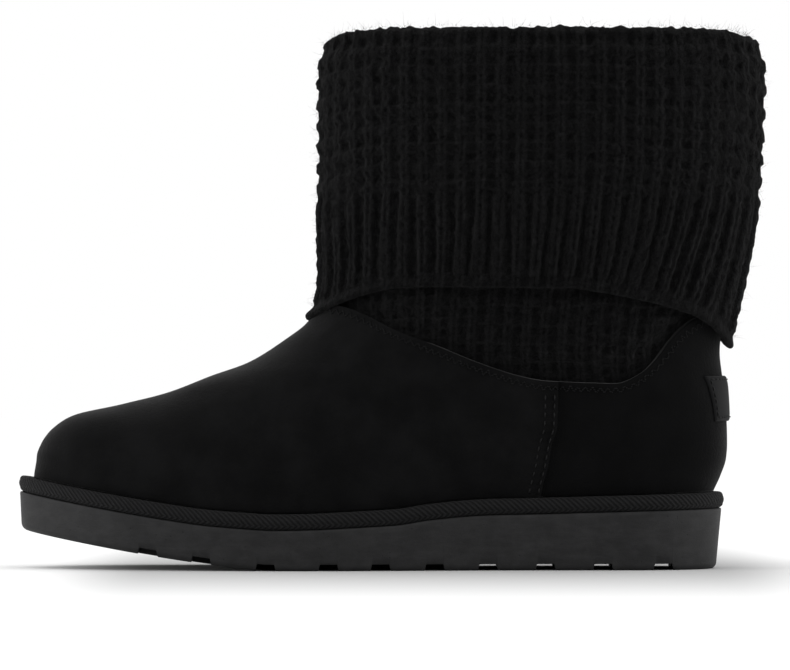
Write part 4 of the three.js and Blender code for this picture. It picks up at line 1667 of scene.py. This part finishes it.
    def rows_to_rings(
        self, rows: Sequence[tuple[Number, Number, Number, Number, Number]], angle: Array, place: Place
    ) -> tuple[Array, Array]:
        """Rings of the closed knit.

        Args:
            rows: Height, distance, relief, and the relief's direction in distance and height.
            angle: Angle of each column.
            place: Place of an angle at a height.

        Returns:
            Points in millimetres, and the mean length along the outline at each row.
        """
        z, d, h, nd, nz = (np.stack([np.broadcast_to(row[i], angle.shape) for row in rows]) for i in range(5))
        turned = self.turned(place, np.broadcast_to(angle, z.shape), z)
        points = LAST.offset_point(turned, z + h * nz, d + h * nd)
        steps = np.hypot(np.diff(z, axis=0), np.diff(d, axis=0)).mean(axis=1)
        return points, running([*steps, self.relief.course])

    def cuff_relief(self, u: Array, s: float, z: Array) -> Array:
        """Relief of the cuff at a length along it: the plain hem, ribs and then the waffle."""
        rib = ease(np.full_like(u, s), *self.hem_band)
        sunk = lerp(self.hem_base, self.base, ease(s, *self.base_run))
        return self.relief(u, np.full_like(u, s), ease(z, *self.rib_top), rib) + sunk

    def cuff_rings(self) -> tuple[Array, Array]:
        """Hem, cuff, fold and lip: up the outer face, over the rim and a little way inside.

        Each row has its height, its distance, its length along the knit where the relief shows,
        and the relief's direction.

        Returns:
            Points in millimetres, and the mean length along the outline at each row.
        """
        count = self.relief.ribs * self.samples
        angle, u = LAST.even_angles(count), np.arange(count) / self.samples
        at = self.levels(angle, self.cuff_place)
        half, outer, inner = self.wall / 2, self.fold_radius, self.fold_gap / 2
        bottom, spring, centre, shaft = at["hem"] + half, at["spring"], at["centre"], at["shaft"]
        over = self.cuff_length + outer * math.pi
        plan: list[tuple[Array, Array, float | None, float, float]] = []
        for t in np.linspace(math.pi, TURN, self.hem_rows):
            out, up = math.cos(t), math.sin(t)
            plan.append((bottom + half * up, at["standoff"] + half * (out - 1), half * (t - TURN), out, up))
        for share in np.linspace(0, 1, self.cuff_rows + 1)[1:]:
            z, s = lerp(bottom, spring, share), share * self.cuff_length
            plan.append((z, self.cuff_wall(at, share), s, 1.0, 0.0))
        for t in np.linspace(0, math.pi, self.fold_rows)[1:]:
            out, up = math.cos(t), math.sin(t)
            plan.append((spring + outer * up, centre + outer * out, self.cuff_length + outer * t, out, up))
        for depth in np.linspace(0, self.lip_depth, self.lip_rows)[1:]:
            plan.append((spring - depth, shaft - self.wall, over + depth, -1.0, 0.0))
        for depth in np.linspace(self.lip_depth, 0, 3):
            plan.append((spring - depth, shaft, None, 1.0, 0.0))
        for t in np.linspace(math.pi, 0, self.inner_fold_rows)[1:]:
            plan.append((spring + inner * math.sin(t), centre + inner * math.cos(t), None, 1.0, 0.0))
        for share in self.inner_shares:
            plan.append((lerp(bottom, spring, share), self.cuff_wall(at, share) - self.wall, None, -1.0, 0.0))
        rows = [
            (z, self.drawn_in(d, z - spring), 0.0 if s is None else self.cuff_relief(u, s, z), out, up)
            for z, d, s, out, up in plan
        ]
        return self.rows_to_rings(rows, angle, self.cuff_place)

    def tube_rings(self) -> tuple[Array, Array]:
        """Shaft below the lip: its outer face with the waffle, and its plainer inner face.

        Each row has its height, 1 outside or -1 inside, and whether the relief shows.

        Returns:
            Points in millimetres, and the mean length along the outline at each row.
        """
        count = self.relief.ribs * self.tube_samples
        angle, u = LAST.even_angles(count), np.arange(count) / self.tube_samples
        at = self.levels(angle, self.tube_place)
        collar, sewn = at["collar"], -(self.suede_wall + self.knit_clearance)
        foot, start = collar - self.sewn_overlap, collar - self.edge_step
        top = at["spring"] - self.lip_depth - self.tube_gap
        visible = np.maximum(at["hem"] + self.hidden_rise, collar + self.release_height)
        plan = [(lerp(foot, start, share), 1.0, False) for share in np.linspace(0, 1, 4)[:-1]]
        plan += [(lerp(start, visible, share), 1.0, True) for share in np.linspace(0, 1, self.tube_rows)]
        plan += [(lerp(visible, top, share), 1.0, False) for share in (0.2, 0.6, 1.0)]
        plan += [(lerp(top, foot, share), -1.0, True) for share in np.linspace(0, 1, self.tube_inner_rows)]
        rows = []
        for z, out, detailed in plan:
            d = lerp(sewn, at["shaft"], ease(z - collar, self.edge_step, self.release_height))
            height = 0.0
            if detailed:
                height = self.relief(u, z * self.tube_stretch, 1.0, 1.0) * self.tube_relief + self.tube_base
            if out > 0:
                height = height * ease(z - collar, *self.tuck_end)
            rows.append((z, d if out > 0 else d - self.wall, height, out, 0.0))
        return self.rows_to_rings(rows, angle, self.tube_place)

    def loose_fibres(self) -> tuple[Array, Array, Array]:
        """Roots, leans and curls of loose fibres on the cuff and on its rim.

        Returns:
            Three arrays of vectors in millimetres.
        """
        rng = np.random.default_rng(self.fibre_seed)
        count = self.fibres
        angle = rng.uniform(0, TURN, count)
        at = self.levels(angle, self.cuff_place)
        over = rng.random(count) < self.rim_fibres
        share = rng.uniform(0.02, 1.0, count)
        turn = rng.uniform(0, 0.75 * math.pi, count)
        spring, radius = at["spring"], self.fold_radius
        z = np.where(over, spring + radius * np.sin(turn), lerp(at["hem"], spring, share))
        d = np.where(over, at["centre"] + radius * np.cos(turn), self.cuff_wall(at, share))
        turned = self.turned(self.cuff_place, angle, z)
        roots = LAST.offset_point(turned, z, self.drawn_in(d, z - spring) + self.base + self.fibre_lift)
        normal = LAST.outward(turned, z)
        up = np.where(over, np.sin(turn), 0.0)[:, None] * np.array([0.0, 0.0, 1.0])
        lean = normal * rng.uniform(0.15, 0.9, (count, 1)) + up + rng.normal(0, 0.75, (count, 3))
        size = rng.uniform(*self.fibre_length, (count, 1))
        lean = lean / np.linalg.norm(lean, axis=1, keepdims=True) * size
        return roots, lean, rng.normal(0, 0.45, (count, 3)) * size

    def knit(self, name: str, rings: Array, along: Array, samples: int, *nodes: str) -> None:
        """Makes and dresses one closed knitted body.

        Args:
            name: Name of the piece.
            rings: Points in millimetres, (rows, columns, 3).
            along: Length along the outline at each row.
            samples: Points across a rib.
            nodes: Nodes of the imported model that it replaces.
        """
        u = np.arange(rings.shape[1] + 1) / samples
        body = ring_body(name, rings, u, along / self.relief.course)
        dress(body, Finish.KNIT, Slot.KNIT, *nodes)

    def make(self) -> None:
        """Builds and dresses the cuff, its loose fibres and the tube inside it."""
        self.knit("knit_cuff", *self.cuff_rings(), self.samples, "knit_shaft")
        fuzz = fibre_body("knit_fuzz", *self.loose_fibres(), self.fibre_radius)
        dress(fuzz, Finish.FUZZ, Slot.KNIT)
        self.knit("knit_tube", *self.tube_rings(), self.tube_samples)


# The sole


@dataclass
class WedgeOutsole:
    """Moulded wedge with rounded edges, tapered walls and a grooved tread."""

    bevel: float = 2.4
    bevel_rise: float = 0.15
    toe_taper: float = 0.6
    heel_taper: float = 2.6
    top_taper: float = 0.6
    groove_width: float = 7.2
    groove_depth: float = 2.4
    groove_softness: float = 0.3
    groove_top: float = 0.4
    notches: int = 6
    notch_share: float = 0.26
    tread_steps: Triple = (0.04, 0.01, 0.0)
    rim_rounding: float = 0.8
    bevel_steps: int = 6
    rim_steps: int = 4
    steps: int = 150
    groove_steps: tuple[float, ...] = (-0.5, -0.2, 0.05, 0.2, 0.5)
    groove_room: float = 0.4
    wall_shares: tuple[float, ...] = (0.2, 0.4, 0.6, 0.8, 0.93)

    @cached_property
    def shares(self) -> Array:
        """Stations toe to heel: close at both ends and at each groove's walls."""
        half = self.groove_width / 2
        edges = np.array([groove * LAST.length + edge for groove in LAST.grooves for edge in (-half, half)])
        near = ((edges[:, None] + np.array(self.groove_steps)) / LAST.length).ravel()
        even = close_ends(self.steps)
        far = even[np.abs(even[:, None] - near).min(axis=1) > self.groove_room / LAST.length]
        return np.unique(np.concatenate([far, near]))

    def groove(self, x: Array, first: int = 0) -> Array:
        """Share of the groove's depth at a place, with softened walls, from one groove on."""
        centres = np.array(LAST.grooves[first:])[:, None] * LAST.length
        half = self.groove_width / 2
        away = np.abs(x - centres).min(axis=0)
        return 1 - ease(away, half - self.groove_softness, half + self.groove_softness)

    def lower_edge(self, x: Array, rise: float, extra: float) -> Array:
        """Height on the bevel at a rise over the tread, or in a groove its depth and an extra."""
        return LAST.tread_height(x) + np.maximum(rise, self.groove(x) * (self.groove_depth + extra))

    def outline(self, inset: float, up: float = 0.0) -> tuple[Array, Array, Array]:
        """Stations of the wedge at an inset, a share of the way up its tapered walls."""
        side = (self.toe_taper + self.heel_taper) / 2
        heel = lerp(self.heel_taper, self.top_taper, up)
        insets = (self.toe_taper * (1 - up) + inset, side * (1 - up) + inset, heel + inset)
        return LAST.sole_station(self.shares, *insets)

    def make(self) -> None:
        """Builds and dresses the outsole: inner tread, bevel, walls and rounded rim.

        The forward grooves end as notches at the edge of the inner tread.
        """
        layers: list[Layer] = []
        for share, first in zip(self.tread_steps, (self.notches, self.notches, 0)):
            x, centre, half = self.outline(self.bevel)
            level = LAST.tread_height(x) + self.groove(x, first) * self.groove_depth
            layers.append((x, centre, half * (1 - self.notch_share - share), level))
        for t in np.linspace(0, math.pi / 2, self.bevel_steps):
            x, centre, half = self.outline(self.bevel * (1 - math.sin(t)))
            rise = self.bevel * (1 - math.cos(t))
            layers.append((x, centre, half, self.lower_edge(x, rise, rise * self.bevel_rise)))
        for up in self.wall_shares:
            x, centre, half = self.outline(0.0, up)
            low = self.lower_edge(x, self.bevel, self.groove_top)
            layers.append((x, centre, half, lerp(low, LAST.outsole_top(x), up)))
        for t in np.linspace(0, math.pi / 2, self.rim_steps)[1:]:
            x, centre, half = self.outline(self.rim_rounding * (1 - math.cos(t)), 1.0)
            drop = self.rim_rounding * (1 - math.sin(t))
            layers.append((x, centre, half, LAST.outsole_top(x) - drop))
        dress(plate_body("wedge_outsole", layers), Finish.RUBBER, Slot.OUTSOLE, "outsole")


@dataclass
class BoundPlatform:
    """Board under the upper, with a herringbone tape bound round its edge."""

    rounding: float = 1.7
    bulge: float = 0.35
    seat: float = 0.12
    flat_steps: tuple[float, float] = (3.0, 6.0)
    wall_shares: tuple[float, float] = (0.15, 0.85)
    lower_steps: int = 5
    upper_steps: int = 6
    stations: int = 760

    def make(self) -> None:
        """Builds and dresses the bound board.

        Each row has an inset, a share of the height and a rise, for the rounded lower edge,
        the bulged wall, the rounded upper edge and the flat top.
        """
        r = self.rounding
        lower, upper = (np.linspace(0, math.pi / 2, steps) for steps in (self.lower_steps, self.upper_steps))
        wall = np.linspace(*self.wall_shares, self.upper_steps)
        rows = [(r - r * math.sin(t), 0.0, r - r * math.cos(t)) for t in lower]
        rows += [(-self.bulge * math.sin(math.pi * t), t, r - 2 * r * t) for t in wall]
        rows += [(r - r * math.cos(t), 1.0, r * math.sin(t) - r) for t in upper]
        rows += [(r + step, 1.0, 0.0) for step in self.flat_steps]
        layers: list[Layer] = []
        for inset, share, rise in rows:
            x, centre, half = LAST.sole_station(close_ends(self.stations), inset, inset, inset)
            z = lerp(LAST.outsole_top(x) + self.seat, LAST.platform_top(x), share) + rise
            layers.append((x, centre, half, z))
        dress(plate_body("bound_platform", layers), Finish.TAPE, Slot.TAPE, "platform")


@dataclass
class Insole:
    """Soft foot bed inside the upper, whose profile gives an inset and a share of its height."""

    inset: float = 3.4
    thickness: float = 4.0
    stations: int = 200
    profile: tuple[tuple[float, float], ...] = (
        (0.0, 0.0), (0.0, 0.6), (0.6, 0.9), (2.0, 1.0), (7.0, 0.96), (14.0, 0.92), (22.0, 0.9),
    )

    def make(self) -> None:
        """Builds and dresses the insole, with a slightly cupped top."""
        layers: list[Layer] = []
        for step, rise in self.profile:
            margins = (LAST.toe_margin, LAST.side_margin, LAST.heel_margin)
            insets = (margin + self.inset + step for margin in margins)
            x, centre, half = LAST.sole_station(close_ends(self.stations), *insets)
            layers.append((x, centre, half, LAST.feather_height(x) + self.thickness * rise))
        dress(plate_body("pile_insole", layers), Finish.PILE, Slot.INSOLE, "insole")


@dataclass
class HeelLabel:
    """Bare woven tab that follows the back of the heel, stitched round its edge."""

    top: float = 75.0
    height: float = 17.5
    width: float = 42.0
    taper: float = 4.0
    thickness: float = 1.0
    seat: float = 0.3
    inner_seat: float = 0.15
    edge_share: float = 0.35
    edge_rounding: float = 0.9
    pressed: float = 0.22
    pressed_width: float = 0.5
    columns: int = 64
    rows: int = 26
    halving_rounds: int = 40
    stitch: float = 2.6
    stitch_gap: float = 0.13
    stitch_sink: float = 0.1
    margin: float = 1.5
    thread: float = 0.28

    def point(self, across: Array, up: Array, distance: Number) -> Array:
        """A point of the label.

        Args:
            across: From -1 at the outer side's edge to 1 at the inner side's.
            up: From 0 at the bottom to 1 at the top.
            distance: Millimetres outside the skin.

        Returns:
            The point on the skin whose half width is the place across, moved outward.
        """
        z = self.top - self.height * (1 - up)
        target = np.abs(across) * (self.width - self.taper * (1 - up)) / 2
        low = np.zeros_like(z)
        high = np.full_like(z, LAST.heel_rounding)
        for _ in range(self.halving_rounds):
            middle = (low + high) / 2
            short = LAST.skin_half_width(LAST.back_line(z) - middle, z) < target
            low = np.where(short, middle, low)
            high = np.where(short, high, middle)
        angle = LAST.angle_of(LAST.back_line(z) - low, z)
        return LAST.offset_point(np.where(across < 0, angle, -angle), z, distance)

    def make(self) -> None:
        """Builds and dresses the tab and its stitches, which lie in a pressed line."""
        across, up = np.meshgrid(np.linspace(-1, 1, self.columns), np.linspace(0, 1, self.rows))
        edge = np.minimum((1 - np.abs(across)) * self.width / 2, np.minimum(up, 1 - up) * self.height)
        rounded = self.thickness * lerp(self.edge_share, 1.0, ease(edge, 0.0, self.edge_rounding))
        groove = self.pressed * np.exp(-(((edge - self.margin) / self.pressed_width) ** 2))
        outer = self.point(across, up, self.seat + rounded - groove)
        inner = self.point(across, up, self.inner_seat)
        rings = np.concatenate([outer, inner[:, ::-1]], axis=1)
        u = np.arange(2 * self.columns + 1) * self.width / (self.columns - 1)
        v = np.arange(self.rows) * self.height / (self.rows - 1)
        dress(capped_body("woven_heel_label", rings, u, v, 1), Finish.LABEL, Slot.LABEL, "heel_label")
        stitches = stitch_body("label_stitching", self.stitches(), self.thread)
        dress(stitches, Finish.THREAD, Slot.LABEL)

    def stitches(self) -> Stitches:
        """One row of stitches round the tab, inside its edge.

        Returns:
            The row.
        """
        half = 1 - self.margin / (self.width / 2)
        low = self.margin / self.height
        high = 1 - low
        corners = np.array([[-half, low], [half, low], [half, high], [-half, high], [-half, low]])
        knots = []
        for a, b in zip(corners[:-1], corners[1:]):
            length = math.hypot((b[0] - a[0]) * self.width / 2, (b[1] - a[1]) * self.height)
            count = max(round(length / self.stitch), 2)
            knots.append(a + (b - a) * np.linspace(0, 1, count, endpoint=False)[:, None])
        across, up = np.concatenate([*knots, corners[:1]]).T
        top = self.seat + self.thickness - self.stitch_sink
        points, raised = (self.point(across, up, top + lift) for lift in (0.0, 1.0))
        return [between_knots(points, raised - points, self.stitch_gap)]


# The studio


@dataclass(frozen=True)
class SoftBox:
    """A square soft box: where it hangs, its side in metres and its power in watts."""

    name: str
    place: Triple
    size: float
    power: float


@dataclass
class Studio:
    """White floor with a painted shadow round the boot, soft light and the camera."""

    floor: float = 6.0
    # painted shadow on the floor: its grey, where it lies and how fast it fades
    painted_shadow_grey: Triple = (0.56, 0.56, 0.56)
    painted_shadow_centre: float = 0.03
    painted_shadow_half: float = 0.105
    painted_shadow_reach: tuple[float, float] = (0.04, 0.52)
    painted_shadow_falloff: float = 10.0
    distance: float = 3.2
    eye_height: float = 0.091
    aim_x: float = 0.0156
    lens: float = 373.3
    sensor: float = 36.0
    far_end: float = 50.0
    sky: float = 1.0
    target: Triple = (0.0, 0.0, 0.08)
    boxes: tuple[SoftBox, ...] = (
        SoftBox("top_box", (-0.2, 0.1, 1.6), 1.4, 1.2),
        SoftBox("toe_box", (-1.5, -0.35, 0.36), 0.7, 9.0),
        SoftBox("heel_box", (1.5, -0.25, 0.36), 0.7, 6.0),
    )

    def white(self, name: str) -> bpy.types.Material:
        """Matte white paper with a painted shadow: its colour is grey round where the boot stands and white
        further off.

        Args:
            name: Name of the material.

        Returns:
            The material.
        """
        dye = Dye(name)
        x, y, _ = dye.split(dye.place())
        beside = ((x - self.painted_shadow_centre).absolute() - self.painted_shadow_half).larger(0.0) * self.painted_shadow_falloff
        away = (beside * beside + y * y) ** 0.5
        # painted shadow: the floor's colour blends from grey near the boot to white further off
        painted_shadow_tone = dye.blend(self.painted_shadow_grey, (1.0, 1.0, 1.0), away.step(*self.painted_shadow_reach))
        dye.set(Base_Color=painted_shadow_tone, Roughness=0.9, Specular_IOR_Level=0.0)
        return dye.material

    def lay_floor(self) -> None:
        """A wide floor just under the tread."""
        corners = np.array([[-1.0, -1.0, 0.0], [1.0, -1.0, 0.0], [1.0, 1.0, 0.0], [-1.0, 1.0, 0.0]])
        floor = make_mesh("studio_floor", corners * self.floor, np.array([[0, 1, 2, 3]]))
        floor.data.materials.append(self.white("floor_white_painted_shadow"))

    def hang_light(self, box: SoftBox) -> None:
        """Hangs a soft box that faces the boot.

        Args:
            box: The soft box.
        """
        light = bpy.data.lights.new(box.name, "AREA")
        light.size = box.size
        light.energy = box.power
        lamp = bpy.data.objects.new(box.name, light)
        lamp.location = box.place
        lamp.rotation_euler = (Vector(self.target) - lamp.location).to_track_quat("-Z", "Y").to_euler()
        bpy.context.scene.collection.objects.link(lamp)

    def set_sky(self) -> None:
        """Even white light from all round."""
        world = bpy.data.worlds.new("studio_sky")
        world.use_nodes = True
        background = world.node_tree.nodes["Background"]
        background.inputs["Color"].default_value = (1.0, 1.0, 1.0, 1.0)
        background.inputs["Strength"].default_value = self.sky
        bpy.context.scene.world = world

    def place_camera(self) -> None:
        """Level camera square to the boot's outer side."""
        data = bpy.data.cameras.new("camera")
        data.lens = self.lens
        data.sensor_width = self.sensor
        data.clip_end = self.far_end
        camera = bpy.data.objects.new("camera", data)
        camera.location = (self.aim_x, -self.distance, self.eye_height)
        camera.rotation_euler = (math.pi / 2, 0.0, 0.0)
        bpy.context.scene.collection.objects.link(camera)
        bpy.context.scene.camera = camera

    def make(self) -> None:
        """Sets the scene around the boot."""
        self.lay_floor()
        self.set_sky()
        for box in self.boxes:
            self.hang_light(box)
        bpy.context.scene.view_settings.view_transform = "Standard"
        self.place_camera()


def main() -> None:
    """Builds the boot's pieces in order, then the studio."""
    logging.basicConfig(level=logging.INFO, format="%(message)s")
    for part in (WedgeOutsole(), BoundPlatform(), Insole(), SuedeUpper(), KnitShaft(), HeelLabel()):
        log.info("making %s", type(part).__name__)
        part.make()
    Studio().make()


if __name__ == "__main__":
    main()
